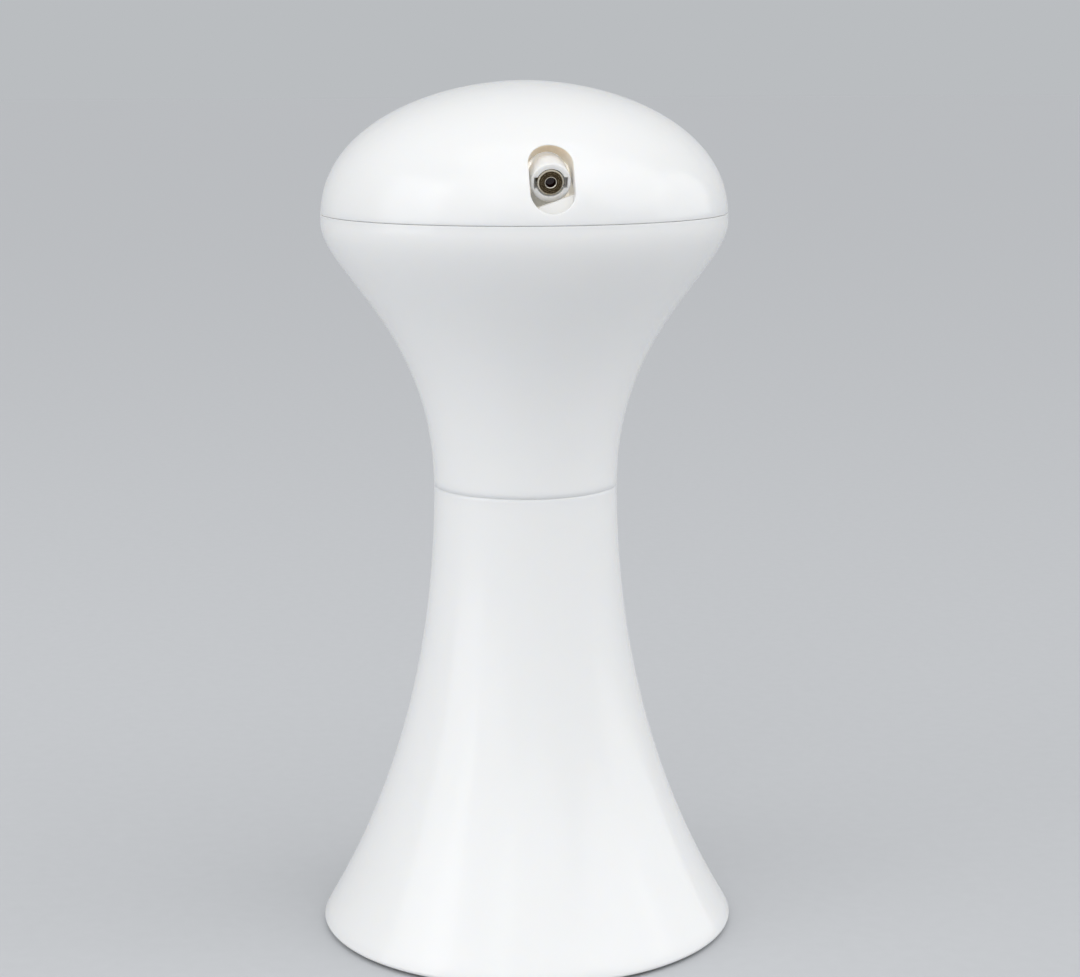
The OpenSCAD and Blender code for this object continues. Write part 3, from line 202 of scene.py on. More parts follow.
FLARE_SLOPE = (FLARE_R - NECK_R) / (KNEE_UP - FLARE_UP)
FLARE_LOW = SHELL_Z + FLARE_UP


def flare_radius(z):
    """Radius of the flare at a height, from the equation of its curve."""
    knee = SHELL_Z + KNEE_UP
    a = FLARE_LOW - 2 * knee + NECK_Z
    b = knee - NECK_Z
    left = (-b - math.sqrt(b * b - a * (NECK_Z - z))) / a
    return NECK_R + (FLARE_R - NECK_R) * left * left


BASE_TOP = NECK_Z + SKIRT_DROP / 2
BASE_ROWS = 120
ROW_SQUEEZE = 0.1
BASE_HEIGHTS = [FLARE_LOW + (BASE_TOP - LIP_DOWN - FLARE_LOW) * i / BASE_ROWS
                for i in range(BASE_ROWS + 1)]
FLARE = [Vector((flare_radius(z), z)) for z in BASE_HEIGHTS]
FLARE_INSIDE = inset(FLARE, WALL)
CHEEK = curve([(NECK_R, NECK_Z), (NECK_R, NECK_Z + NECK_PULL),
               (HEAD_R, WIDE_Z - CHEEK_PULL), (HEAD_R, WIDE_Z)], CHEEK_STEPS)


def dome_radius(up):
    """Radius of the dome at a height above the widest plane."""
    return HEAD_R * max(1 - (up / DOME_H) ** DOME_BULGE_Z, 0) ** (1 / DOME_BULGE_R)


def dome_point(angle, margin=0.0):
    """Radius and height above the widest plane, at an angle from the top of the dome, or of a
    surface inside it by a margin."""
    return ((HEAD_R - margin) * math.sin(angle) ** (2 / DOME_BULGE_R),
            (DOME_H - margin) * max(math.cos(angle), 0) ** (2 / DOME_BULGE_Z))


# ---- Making pieces ----

SHARP_TURN = math.radians(35)
CAD_SHARP_TURN = math.radians(30)
FLAT_TURN = math.radians(1)
HALVINGS = 48
LINE_REACH = 12.0


def added(name, data):
    """A new object in the scene for a mesh, a camera or a lamp."""
    obj = bpy.data.objects.new(name, data)
    bpy.context.collection.objects.link(obj)
    return obj


def loose(name, verts, faces, marks=()):
    """A mesh object from points in millimetres, with a material number for each face."""
    mesh = bpy.data.meshes.new(name)
    mesh.from_pydata([Vector(v) * MM for v in verts], [], faces)
    for polygon, mark in zip(mesh.polygons, marks):
        polygon.material_index = mark
    return added(name, mesh)


def piece(name, shape, body, slot, stands_for=(), materials=None, ease=0.0):
    """A finished piece that rides on a body, in its slot's material or in others given for it."""
    finish_piece(loose(name, *shape), body, slot, stands_for, materials, ease)


def eased(cad_node, name, width, body, slot, materials=None):
    """A piece with the shape of its CAD node and its moulded edges eased."""
    obj = added(name, frame["nodes"][cad_node].data.copy())
    obj.data.materials.clear()
    finish_piece(obj, body, slot, [cad_node], materials, width)


def cleaned(mesh, merge):
    """A mesh to edit, with points nearer than a distance merged and every face looking out."""
    edit = bmesh.new()
    edit.from_mesh(mesh)
    bmesh.ops.remove_doubles(edit, verts=edit.verts, dist=merge)
    bmesh.ops.recalc_face_normals(edit, faces=edit.faces)
    return edit


def finish_piece(obj, body, slot, stands_for, materials, ease):
    """Cleans a piece's mesh, eases its sharp edges by a width, and gives it to its body."""
    edit = cleaned(obj.data, 1e-6)
    if ease:
        bmesh.ops.dissolve_limit(edit, angle_limit=FLAT_TURN, verts=edit.verts, edges=edit.edges)
        sharp = [e for e in edit.edges if len(e.link_faces) == 2 and e.calc_face_angle() > SHARP_TURN]
        bmesh.ops.bevel(edit, geom=sharp, offset=ease * MM, offset_type="OFFSET", segments=2,
                        profile=0.5, affect="EDGES", clamp_overlap=True)
    edit.to_mesh(obj.data)
    edit.free()
    obj.data.shade_smooth()
    obj.data.set_sharp_from_angle(angle=SHARP_TURN)
    for material in materials or [MATERIALS[slot]]:
        obj.data.materials.append(material)
    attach(obj, body)
    if stands_for:
        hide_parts(*stands_for)


def moved(shape, matrix):
    """A shape turned and shifted by a matrix."""
    return [matrix @ Vector(v) for v in shape[0]], shape[1]


def together(*shapes):
    """Several closed meshes as one."""
    verts, faces = [], []
    for shape in shapes:
        faces += [tuple(i + len(verts) for i in face) for face in shape[1]]
        verts += list(shape[0])
    return verts, faces


def turned(outline, segments=SHELL_TURNS):
    """A closed outline turned round the axis: a column of points for each turn."""
    verts = []
    for i in range(segments):
        a = TURN * i / segments
        verts += [Vector((p[0] * math.cos(a), p[0] * math.sin(a), p[1])) for p in outline]
    n = len(outline)
    faces = []
    for i in range(segments):
        j = (i + 1) % segments
        faces += [(i * n + k, j * n + k, j * n + (k + 1) % n, i * n + (k + 1) % n) for k in range(n)]
    return verts, faces


def skin(rings, closed=True):
    """Quads over rings with the same count of points. The last ring joins the first, or else
    the two ends are flat."""
    count = len(rings[0])
    verts = [p for ring in rings for p in ring]
    faces = [] if closed else [tuple(range(count)), tuple(range(len(verts) - count, len(verts)))]
    for j in range(len(rings) if closed else len(rings) - 1):
        k = (j + 1) % len(rings)
        faces += [(j * count + i, j * count + (i + 1) % count,
                   k * count + (i + 1) % count, k * count + i) for i in range(count)]
    return verts, faces


def block(low, high):
    """A box between two corners, for cutting and joining."""
    x, y, z = zip(low, high)
    verts = [Vector((x[i & 1], y[i >> 1 & 1], z[i >> 2])) for i in range(8)]
    return verts, [(0, 2, 3, 1), (4, 5, 7, 6), (0, 1, 5, 4), (2, 6, 7, 3), (0, 4, 6, 2), (1, 3, 7, 5)]


def rod(radius, length, count):
    """A round bar along +Z, for cutting and joining."""
    return turned([(0, 0), (radius, 0), (radius, length), (0, length)], count)


def carved(shape, steps):
    """A closed mesh that others are joined to or cut from, one after another."""
    made = loose("carving", *shape)
    for operation, other in steps:
        tool = loose("tool", *other)
        for obj in (made, tool):
            edit = cleaned(obj.data, 1e-7)
            edit.to_mesh(obj.data)
            edit.free()
        change = made.modifiers.new("change", "BOOLEAN")
        change.operation = operation
        change.solver = "EXACT"
        change.object = tool
        bpy.context.view_layer.update()
        changed = made.evaluated_get(bpy.context.evaluated_depsgraph_get())
        result = bpy.data.meshes.new_from_object(changed)
        made.modifiers.clear()
        made.data = result
        bpy.data.objects.remove(tool)
    verts = [v.co / MM for v in made.data.vertices]
    faces = [tuple(p.vertices) for p in made.data.polygons]
    bpy.data.objects.remove(made)
    return verts, faces


def line_hit(start, axis, outside):
    """Where a line through a place leaves a shape, found by halving."""
    near, far = -LINE_REACH, LINE_REACH
    for _ in range(HALVINGS):
        middle = (near + far) / 2
        if outside(start + middle * axis):
            far = middle
        else:
            near = middle
    return start + near * axis


def rounded_edge(rim, wall, below, steps):
    """Rings from a hole's wall up over its rounded edge to the surface around it."""
    rings = [below]
    for i in range(1, steps + 1):
        t = 1 - i / (steps + 1)
        rings.append([a.lerp(b, t).lerp(b.lerp(c, t), t) for a, b, c in zip(rim, wall, below)])
    return rings + [rim]


# ---- Materials ----

# Sockets of the colour mix by number, because several have one name
MIX_A, MIX_B, MIX_OUT = 6, 7, 2


def srgb(code):
    """Linear colour of an sRGB hex value."""
    parts = [int(code[i:i + 2], 16) / 255 for i in (1, 3, 5)]
    return tuple(c / 12.92 if c <= 0.04045 else ((c + 0.055) / 1.055) ** 2.4 for c in parts) + (1.0,)


def per_mm(size):
    """Pattern scale at which one step of a pattern is about a size in millimetres."""
    return 1 / (size * MM)


def node(tree, kind, settings=None, links=None):
    """Adds a node, sets its sockets and properties, and links its inputs. A whole node given as
    the source of a link stands for its first output."""
    made = tree.nodes.new("ShaderNode" + kind)
    for key, value in (settings or {}).items():
        if isinstance(key, int) or key in made.inputs:
            made.inputs[key].default_value = value
        else:
            setattr(made, key, value)
    for key, source in (links or {}).items():
        whole = isinstance(source, bpy.types.Node)
        tree.links.new(source.outputs[0] if whole else source, made.inputs[key])
    return made


def new_material(name):
    """A material with no nodes yet, its tree, and the place on the object for its patterns."""
    material = bpy.data.materials.new(name)
    material.use_nodes = True
    tree = material.node_tree
    tree.nodes.clear()
    return material, tree, node(tree, "TexCoord").outputs["Object"]


def finish_material(material, settings, dark, light, shade, rough=None, bump=None):
    """The shader and its output. A pattern mixes two colours, and others may drive roughness,
    as (least, most, pattern), and bump, as (strength, depth in millimetres, pattern)."""
    tree = material.node_tree
    colour = node(tree, "Mix", {"data_type": "RGBA", MIX_A: srgb(dark), MIX_B: srgb(light)},
                  {"Factor": shade})
    links = {"Base Color": colour.outputs[MIX_OUT]}
    if rough:
        least, most, pattern = rough
        links["Roughness"] = node(tree, "MapRange", {"To Min": least, "To Max": most}, {"Value": pattern})
    if bump:
        strength, depth, pattern = bump
        links["Normal"] = node(tree, "Bump", {"Strength": strength, "Distance": depth * MM},
                               {"Height": pattern})
    shader = node(tree, "BsdfPrincipled", settings, links)
    node(tree, "OutputMaterial", links={"Surface": shader})
    return material


# White ABS lets light a few millimetres in, and a little less of its blue
ABS_BODY = {"IOR": 1.53, "Subsurface Weight": 0.4, "Subsurface Scale": 0.0025,
            "Subsurface Radius": (1.0, 0.9, 0.75)}


def gloss_abs(name, dark, light, roughness, coat):
    """White ABS, injection moulded in a polished tool. The eye gets a soft clear sheen, a body
    colour that varies by a hair where the melt met, and the slow waviness of a thick wall."""
    material, tree, place = new_material(name)
    # flow of the melt, about as wide as the neck
    flow = node(tree, "TexNoise", {"Scale": per_mm(40), "Detail": 2.0}, {"Vector": place})
    # sink and waviness of the wall, a few wall thicknesses long
    wave = node(tree, "TexNoise", {"Scale": per_mm(11), "Detail": 1.0}, {"Vector": place})
    # handling haze in the gloss, in patches of some millimetres
    haze = node(tree, "TexNoise", {"Scale": per_mm(5), "Detail": 3.0}, {"Vector": place})
    return finish_material(
        material, {**ABS_BODY, "Coat Weight": coat, "Coat Roughness": 0.08},
        dark, light, flow, (roughness - 0.04, roughness + 0.05, haze), (0.2, 0.02, wave))


def painted_glow_by_depth(material, front, back, strength):
    """Gives a white moulding inside the head a painted glow, an emission that lightens its shade though
    it is no lamp, from nothing at one depth behind the slot to its full strength at another."""
    tree = material.node_tree
    shader = next(n for n in tree.nodes if n.type == "BSDF_PRINCIPLED")
    place = node(tree, "TexCoord").outputs["Object"]
    depth = node(tree, "SeparateXYZ", links={"Vector": place}).outputs["Y"]
    glow = node(tree, "MapRange",
                {"From Min": front * MM, "From Max": back * MM, "To Max": strength}, {"Value": depth})
    shader.inputs["Emission Color"].default_value = srgb("#FFFDF8")
    tree.links.new(glow.outputs["Result"], shader.inputs["Emission Strength"])


def moulded(name, dark, light, roughness, grain, depth, ior=1.5):
    """An engineering plastic or rubber from a spark-eroded tool: an even matt grain that the
    light catches, a body colour with slight clouding 14 grains wide, and no clear layer."""
    material, tree, place = new_material(name)
    spark = node(tree, "TexNoise", {"Scale": per_mm(grain), "Detail": 3.0}, {"Vector": place})
    cloud = node(tree, "TexNoise", {"Scale": per_mm(grain * 14), "Detail": 2.0}, {"Vector": place})
    return finish_material(material, {"IOR": ior}, dark, light, cloud,
                           (roughness - 0.08, roughness + 0.08, spark), (0.5, depth, spark))


def metal(name, dark, light, roughness, grain, depth):
    """A rolled, plated or enamelled metal: its own colour in the reflection, broken up by the
    fine grain of the finish."""
    material, tree, place = new_material(name)
    fine = node(tree, "TexNoise", {"Scale": per_mm(grain), "Detail": 4.0, "Roughness": 0.6},
                {"Vector": place})
    return finish_material(material, {"Metallic": 1.0}, dark, light, fine,
                           (roughness - 0.1, roughness + 0.1, fine), (0.4, depth, fine))


def slot_wall_painted_shade():
    """The slot's wall, left matt by the tool's side core. Its colour is a painted warm shade: plain
    white at the sides and below, it turns beige towards the top of the slot."""
    material, tree, place = new_material("side_core_abs_painted_shade")
    height = node(tree, "SeparateXYZ", links={"Vector": place}).outputs["Z"]
    # drag marks of the core, half a millimetre apart
    drag = node(tree, "TexNoise", {"Scale": per_mm(0.5), "Detail": 3.0}, {"Vector": place})
    # painted warm shade, stronger towards the top of the slot
    painted_warm_shade = node(tree, "MapRange",
                  {"From Min": (WIDE_Z + PAINTED_SHADE_FROM) * MM, "From Max": (WIDE_Z + PAINTED_SHADE_FULL) * MM},
                  {"Value": height})
    speck = node(tree, "MapRange", {"To Min": -0.08, "To Max": 0.08}, {"Value": drag})
    amount = node(tree, "Math", {"operation": "ADD", "use_clamp": True}, {0: painted_warm_shade, 1: speck})
    return finish_material(material, {**ABS_BODY, "Roughness": 0.5}, "#F1EFEB", "#E4D5BE",
                           amount, bump=(0.4, 0.02, drag))


def acetal_painted_glow():
    """The yoke behind the slot: natural acetal, a little waxy. It has a dim warm painted glow, an
    emission that lightens its shaded side though it is no lamp."""
    material, tree, place = new_material("acetal_painted_glow")
    flow = node(tree, "TexNoise", {"Scale": per_mm(7), "Detail": 2.0}, {"Vector": place})
    grain = node(tree, "TexNoise", {"Scale": per_mm(0.5), "Detail": 3.0}, {"Vector": place})
    waxy_with_painted_glow = {"IOR": 1.48, "Emission Color": srgb("#F2EDE6"), "Emission Strength": YOKE_PAINTED_GLOW}
    return finish_material(material, waxy_with_painted_glow, "#E4DFD0", "#EDE9DC", flow,
                           (0.36, 0.5, grain), (0.4, 0.02, grain))


def browned_brass():
    """The laser's barrel: brass turned on a lathe and browned in a bath. The tool's rings run
    round the aperture, and the browning is darker in them and speckled between. The real rings
    are 0.05 mm apart; they are drawn at 0.4 mm, which is the finest that shows."""
    material, tree, place = new_material("browned_turned_brass")
    from_front = node(tree, "VectorMath",
                      {"operation": "SUBTRACT", 1: tuple(LASER_FRONT * MM)}, {0: place})
    straight = node(tree, "VectorRotate",
                    {"rotation_type": "X_AXIS", "Angle": -math.pi / 2 - LASER_PITCH},
                    {"Vector": from_front})
    rings = node(tree, "TexWave",
                 {"wave_type": "RINGS", "rings_direction": "Z", "Scale": per_mm(0.4) * TURN / 20,
                  "Distortion": 0.6, "Detail": 1.0}, {"Vector": straight}).outputs["Fac"]
    speckle = node(tree, "TexNoise", {"Scale": per_mm(0.32), "Detail": 3.0}, {"Vector": place})
    patina = node(tree, "MapRange", {"From Min": 0.35, "From Max": 0.65}, {"Value": speckle})
    ringed = node(tree, "Math", {"operation": "MULTIPLY"}, {0: patina, 1: rings})
    return finish_material(material, {"Metallic": 1.0}, "#3E3527", "#85765C", ringed,
                           (0.3, 0.48, patina), (0.5, 0.03, rings))


def clear_plastic(name, dark, light, roughness, grain, through):
    """Cast acrylic or a frosted guide: light goes in, is coloured and comes back, over a
    surface that is smooth or evenly blasted."""
    material, tree, place = new_material(name)
    blast = node(tree, "TexNoise", {"Scale": per_mm(grain), "Detail": 2.0}, {"Vector": place})
    return finish_material(material, {"IOR": 1.49, "Transmission Weight": through},
                           dark, light, blast, (roughness, roughness + 0.06, blast))


# Heights above the widest plane between which the slot's wall goes from white to a painted warm shade
PAINTED_SHADE_FROM = 12.5
PAINTED_SHADE_FULL = 18.5
# Strength of the painted glow, an emission, on the yoke and the sleeve, and the depths where the sleeve's
# begins and is full
YOKE_PAINTED_GLOW = 0.3
SLEEVE_PAINTED_GLOW = 0.35
GLOW_FROM_Y = -41.5
GLOW_FULL_Y = -37
# Two shades, roughness and clear layer of the satin mouldings behind the slot
SATIN = ("#F4F3F0", "#F8F7F4", 0.36, 0.1)

GLOSS_ABS = gloss_abs("gloss_moulded_abs", "#F3F3F2", "#F9F9F8", 0.24, 0.3)
SILL_ABS = gloss_abs("satin_sill_abs", *SATIN)
SLEEVE_ABS = gloss_abs("satin_abs_painted_glow", *SATIN)
# the sleeve's material gets a painted glow that rises with depth behind the slot
painted_glow_by_depth(SLEEVE_ABS, GLOW_FROM_Y, GLOW_FULL_Y, SLEEVE_PAINTED_GLOW)
BARE_BRASS = metal("bare_cut_brass", "#EFE6D2", "#FBF6EA", 0.24, 0.3, 0.004)
MATERIALS = {
    "white_abs": moulded("spark_textured_abs", "#E6E6E4", "#EDEDEB", 0.5, 0.4, 0.03, 1.53),
    "ivory_pom": moulded("natural_acetal", "#E4DFD0", "#EDE9DC", 0.42, 0.5, 0.02, 1.48),
    "black_plastic": moulded("black_nylon", "#19191B", "#232326", 0.5, 0.4, 0.02),
    "button_plastic": moulded("satin_grey_abs", "#CDD0D1", "#D6D8D8", 0.38, 0.45, 0.015, 1.53),
    "rubber": moulded("compression_moulded_rubber", "#131313", "#1E1E1E", 0.78, 0.35, 0.05, 1.52),
    "steel": metal("zinc_plated_steel", "#A6A9AD", "#C8CBCE", 0.33, 0.5, 0.01),
    "brass": metal("rolled_brass", "#8A6A3A", "#B4904F", 0.34, 0.25, 0.008),
    "circuit_board": moulded("green_solder_resist", "#123F1C", "#1B5228", 0.32, 0.7, 0.02, 1.55),
    "ferrite": moulded("sintered_ferrite", "#29292C", "#38383B", 0.7, 0.3, 0.03, 2.2),
    "copper_rotor": metal("enamelled_copper_wire", "#8C4B22", "#B5683A", 0.35, 0.3, 0.02),
    "cell_wrap": moulded("shrunk_cell_film", "#2A3A55", "#33456A", 0.28, 0.9, 0.01),
    "wire_cover": moulded("extruded_red_pvc", "#861818", "#A32020", 0.45, 0.5, 0.01, 1.52),
    "lens_glass": clear_plastic("cast_red_acrylic", "#1C0205", "#2C0508", 0.03, 0.8, 0.4),
    "light_guide": clear_plastic("blasted_light_guide", "#D5E8D8", "#E3F2E4", 0.34, 0.3, 0.35),
}

# Each CAD node has the material of its slot in the record
for entry in frame["record"]["subparts"]:
    cad_mesh = frame["nodes"][entry["node"]].data
    cad_mesh.materials.clear()
    cad_mesh.materials.append(MATERIALS[entry["material_slot"]])
    cad_mesh.set_sharp_from_angle(angle=CAD_SHARP_TURN)


# ---- Base shell, with the holes for the button and its light ----

ON_BACK = (Matrix.Translation((0, flare_radius(SHELL_Z + BUTTON_UP), SHELL_Z + BUTTON_UP))
           @ Matrix.Rotation(BUTTON_LEAN - math.pi / 2, 4, "X") @ Matrix.Rotation(math.pi, 4, "Z"))
BACK_AXIS = (ON_BACK.to_3x3() @ Vector((0, 0, 1))).normalized()
RIM_STEPS = 8
# Each hole: height from the button's axis, radius, edge rounding, lowest and highest level of
# the window around it, half the window's width in columns
BUTTON_HOLE = (0.0, 5.8, 0.4, 23.1, 37.2, 12)
LIGHT_HOLE = (LIGHT_UP, 1.65, 0.2, 37.2, 42.4, 5)


def base_outline():
    """The base's wall from its foot up over the neck's rim, rib and bearing, and down inside."""
    rim_r = FLARE_R + FLARE_SLOPE * (FLARE_UP - RIM_ROUND) - RIM_ROUND * math.sqrt(1 + FLARE_SLOPE ** 2)
    rim_end = math.degrees(math.atan(FLARE_SLOPE))
    rim = arc((rim_r, SHELL_Z + RIM_ROUND), RIM_ROUND, -90, rim_end, RIM_STEPS)
    lip = [Vector((NECK_R - LIP_IN * p.x, BASE_TOP - LIP_DOWN + LIP_DOWN * p.y))
           for p in soft_edge(9)[1:]]
    rib_top = BASE_TOP + RIB_UP
    deck = NECK_Z - DECK_DROP
    wall_r = NECK_R - WALL
    inside = [(RIB_OUT_R, BASE_TOP), (RIB_OUT_R, rib_top - RIB_CHAMFER),
              (RIB_OUT_R - RIB_CHAMFER, rib_top), (RIB_IN_R, rib_top), (RIB_IN_R, deck),
              (BEARING_R, deck), (BEARING_R, deck - BEARING_L),
              (BEARING_R + BEARING_WALL, deck - BEARING_L), (BEARING_R + BEARING_WALL, deck - DECK_T),
              (wall_r, deck - DECK_T)]
    # the wall's inner side keeps a row for each row outside, so that the holes can join both
    inner = [Vector((p.x, min(p.y, deck - DECK_T - ROW_SQUEEZE * (BASE_ROWS - i) / BASE_ROWS)))
             for i, p in enumerate(FLARE_INSIDE)]
    foot = [Vector((FLARE_INSIDE[0].x + FLARE_SLOPE * FLARE_UP, SHELL_Z))]
    return rim[:-1] + FLARE + lip + [Vector(p) for p in inside] + list(reversed(inner)) + foot


def on_flare(turn, z, radius_of):
    """The shell's point at a turn and a height, outside or inside."""
    r = radius_of(z)
    return Vector((r * math.cos(turn), r * math.sin(turn), z))


def turn_and_height(p):
    return Vector((math.atan2(p.y, p.x), p.z))


def inside_radius(z):
    return radius_at(FLARE_INSIDE, z)


def back_ring(turns, up, radius, radius_of):
    """Points of a round hole along the button's axis, where it meets the shell."""
    ring = []
    for a in turns:
        start = ON_BACK @ Vector((radius * math.cos(a), up + radius * math.sin(a), 0))
        ring.append(line_hit(start, BACK_AXIS, lambda p: math.hypot(p.x, p.y) > radius_of(p.z)))
    return ring


def spread_over(hole, edge, radius_of, steps):
    """Rings over the shell between a hole and the window's edge around it."""
    pairs = [(turn_and_height(a), turn_and_height(b)) for a, b in zip(hole, edge)]
    return [[on_flare(*a.lerp(b, j / steps), radius_of) for a, b in pairs] for j in range(1, steps)]


def cut_back_hole(verts, faces, removed, count, hole):
    """Opens a window in the grid, outside and inside, and closes it again around a hole."""
    up, radius, rounding, z_low, z_high, half = hole
    low, high = [min(range(BASE_ROWS + 1), key=lambda h: abs(BASE_HEIGHTS[h] - z))
                 for z in (z_low, z_high)]
    left, right = SHELL_TURNS // 4 - half, SHELL_TURNS // 4 + half
    loop = ([(i, low) for i in range(left, right)] + [(right, h) for h in range(low, high)]
            + [(i, high) for i in range(right, left, -1)] + [(left, h) for h in range(high, low, -1)])
    outer = [i * count + RIM_STEPS + h for i, h in loop]
    inner = [i * count + count - 2 - h for i, h in loop]
    for i in range(left, right):
        removed.update(i * count + RIM_STEPS + h for h in range(low, high))
        removed.update(i * count + count - 3 - h for h in range(low, high))
    flat = [ON_BACK.inverted() @ verts[v] for v in outer]
    turns = [math.atan2(p.y - up, p.x) for p in flat]
    rim = back_ring(turns, up, radius + rounding, flare_radius)
    wall = back_ring(turns, up, radius, flare_radius)
    below = [p - EDGE_DEPTH * rounding * BACK_AXIS for p in wall]
    end = back_ring(turns, up, radius, inside_radius)
    rings = list(reversed(spread_over(rim, [verts[v] for v in outer], flare_radius, 7)))
    rings += list(reversed(rounded_edge(rim, wall, below, 4))) + [end]
    rings += spread_over(end, [verts[v] for v in inner], inside_radius, 5)
    rows = [outer]
    for ring in rings:
        rows.append(list(range(len(verts), len(verts) + len(ring))))
        verts += ring
    rows.append(inner)
    for a, b in zip(rows, rows[1:]):
        faces += zip(a, a[1:] + a[:1], b[1:] + b[:1], b)


def base_shell():
    """The base turned from its outline, with the two holes at the back."""
    outline = base_outline()
    verts, grid = turned(outline)
    removed = set()
    faces = []
    for hole in (BUTTON_HOLE, LIGHT_HOLE):
        cut_back_hole(verts, faces, removed, len(outline), hole)
    return verts, [f for k, f in enumerate(grid) if k not in removed] + faces


# ---- Head shell and dome ----

def dome_outline():
    """The dome's outer outline from the seam up to its top."""
    first = math.acos((SEAM_UP / DOME_H) ** (DOME_BULGE_Z / 2))
    return [Vector(dome_point(first * (1 - i / 60))) + Vector((0, WIDE_Z)) for i in range(61)]


def head_shell():
    """The lower head shell, from its thrust ring and floor up to the tongue in the dome."""
    bottom = NECK_Z - SKIRT_DROP / 2
    floor = NECK_Z + FLOOR_UP
    tongue_r = radius_at(inset(dome_outline(), WALL + FIT), SEAM_Z + TONGUE_H)
    lip = [Vector((NECK_R - HEAD_LIP_IN * p.x, bottom + HEAD_LIP_UP * (1 - p.y)))
           for p in reversed(soft_edge(8))]
    side = [Vector((NECK_R, bottom + HEAD_LIP_UP + RUN))]
    side += [p for p in CHEEK if p.y > bottom + 2 * HEAD_LIP_UP]
    band = [Vector((dome_radius(up), WIDE_Z + up)) for up in BAND_HEIGHTS]
    seam_r = dome_radius(SEAM_UP)
    seam_top = SEAM_Z - SEAM_GAP / 2
    seam = arc((seam_r - SEAM_ROUND, seam_top - SEAM_ROUND), SEAM_ROUND, 0, 90, SEAM_STEPS)
    tongue_top = SEAM_Z + TONGUE_H
    tongue = [(seam_r - SEAM_LAND, seam_top), (seam_r - SEAM_LAND, SEAM_Z), (tongue_r, SEAM_Z),
              (tongue_r, tongue_top - TONGUE_CHAMFER), (tongue_r - TONGUE_CHAMFER, tongue_top),
              (tongue_r - TONGUE_T, tongue_top), (tongue_r - TONGUE_T, WIDE_Z)]
    root = WIDE_Z - TONGUE_T - TONGUE_ROOT
    inside = [p for p in reversed(inset(CHEEK, WALL)) if floor + FLOOR_T < p.y < root]
    deep = [(NECK_R - WALL, floor + FLOOR_T), (SPINDLE_HOLE_R, floor + FLOOR_T),
            (SPINDLE_HOLE_R, floor - THRUST_DROP), (THRUST_R, floor - THRUST_DROP), (THRUST_R, floor)]
    skirt_top = BASE_TOP + RIB_UP + REBATE_OVER_RIB
    skirt_in_r = RIB_IN_R - REBATE_IN_RIB
    rebate = [(skirt_in_r, floor), (skirt_in_r, skirt_top), (REBATE_R, skirt_top), (REBATE_R, bottom)]
    return turned([Vector(p) for p in rebate] + lip + side + band + seam + [Vector(p) for p in tongue]
                  + inside + [Vector(p) for p in deep])


SLOT_AT = Vector((0, -SLOT_OUT, WIDE_Z + SLOT_UP))
SLOT_AXIS = Vector((0, -math.cos(SLOT_TILT), math.sin(SLOT_TILT)))
SLOT_UPWARDS = Vector((0, math.sin(SLOT_TILT), math.cos(SLOT_TILT)))
SLOT_POINTS = 320


def slot_outline(grow):
    """Points round the slot's outline, grown by a distance, as (side, up)."""
    half = SLOT_W / 2
    r = half + grow
    straight = SLOT_L - SLOT_W
    length = TURN * half + 2 * straight
    points = []
    for i in range(SLOT_POINTS):
        s = length * i / SLOT_POINTS
        if s < math.pi * half:
            a = s / half
            points.append((r * math.cos(a), straight / 2 + r * math.sin(a)))
        elif s < math.pi * half + straight:
            points.append((-r, straight / 2 - (s - math.pi * half)))
        elif s < TURN * half + straight:
            a = (s - straight) / half
            points.append((r * math.cos(a), -straight / 2 + r * math.sin(a)))
        else:
            points.append((r, -straight / 2 + (s - TURN * half - straight)))
    return points


def dome_hit(side, up, margin=0.0):
    """Where a line along the slot's axis meets the dome, or a surface inside it by a margin."""
    def outside(p):
        r = math.hypot(p.x, p.y) / (HEAD_R - margin)
        return r ** DOME_BULGE_R + (max(p.z - WIDE_Z, 0) / (DOME_H - margin)) ** DOME_BULGE_Z > 1
    return line_hit(SLOT_AT + side * Vector((1, 0, 0)) + up * SLOT_UPWARDS, SLOT_AXIS, outside)


def flat_place(point, margin):
    """Place on the dome as a point of a flat disc whose middle is the dome's top."""
    up = min(max((point.z - WIDE_Z) / (DOME_H - margin), 0), 1)
    return Vector(point[:2]).normalized() * math.acos(up ** (DOME_BULGE_Z / 2))


def from_flat(place, margin):
    """The dome's point for a place on that disc."""
    out = place.normalized()
    r, up = dome_point(place.length, margin)
    return Vector((out.x * r, out.y * r, WIDE_Z + up))


def circle_along(centre, through, radius):
    """Where the ray from one place through another leaves a disc."""
    ray = (through - centre).normalized()
    b = centre.dot(ray)
    return centre + (-b + math.sqrt(b * b - centre.length_squared + radius * radius)) * ray


def dome_rings(margin, up, grows, steps):
    """Rings of points from the slot out to a height, over the dome, close at first."""
    rings = [[dome_hit(s, u, margin) for s, u in slot_outline(g)] for g in grows]
    centre = flat_place(dome_hit(0, 0, margin), margin)
    edge = math.acos((up / (DOME_H - margin)) ** (DOME_BULGE_Z / 2))
    last = [flat_place(p, margin) for p in rings[-1]]
    ends = [circle_along(centre, p, edge) for p in last]
    for j in range(1, steps + 1):
        t = (math.exp(RING_SPREAD * j / steps) - 1) / (math.exp(RING_SPREAD) - 1)
        rings.append([from_flat(a.lerp(b, t), margin) for a, b in zip(last, ends)])
    return rings


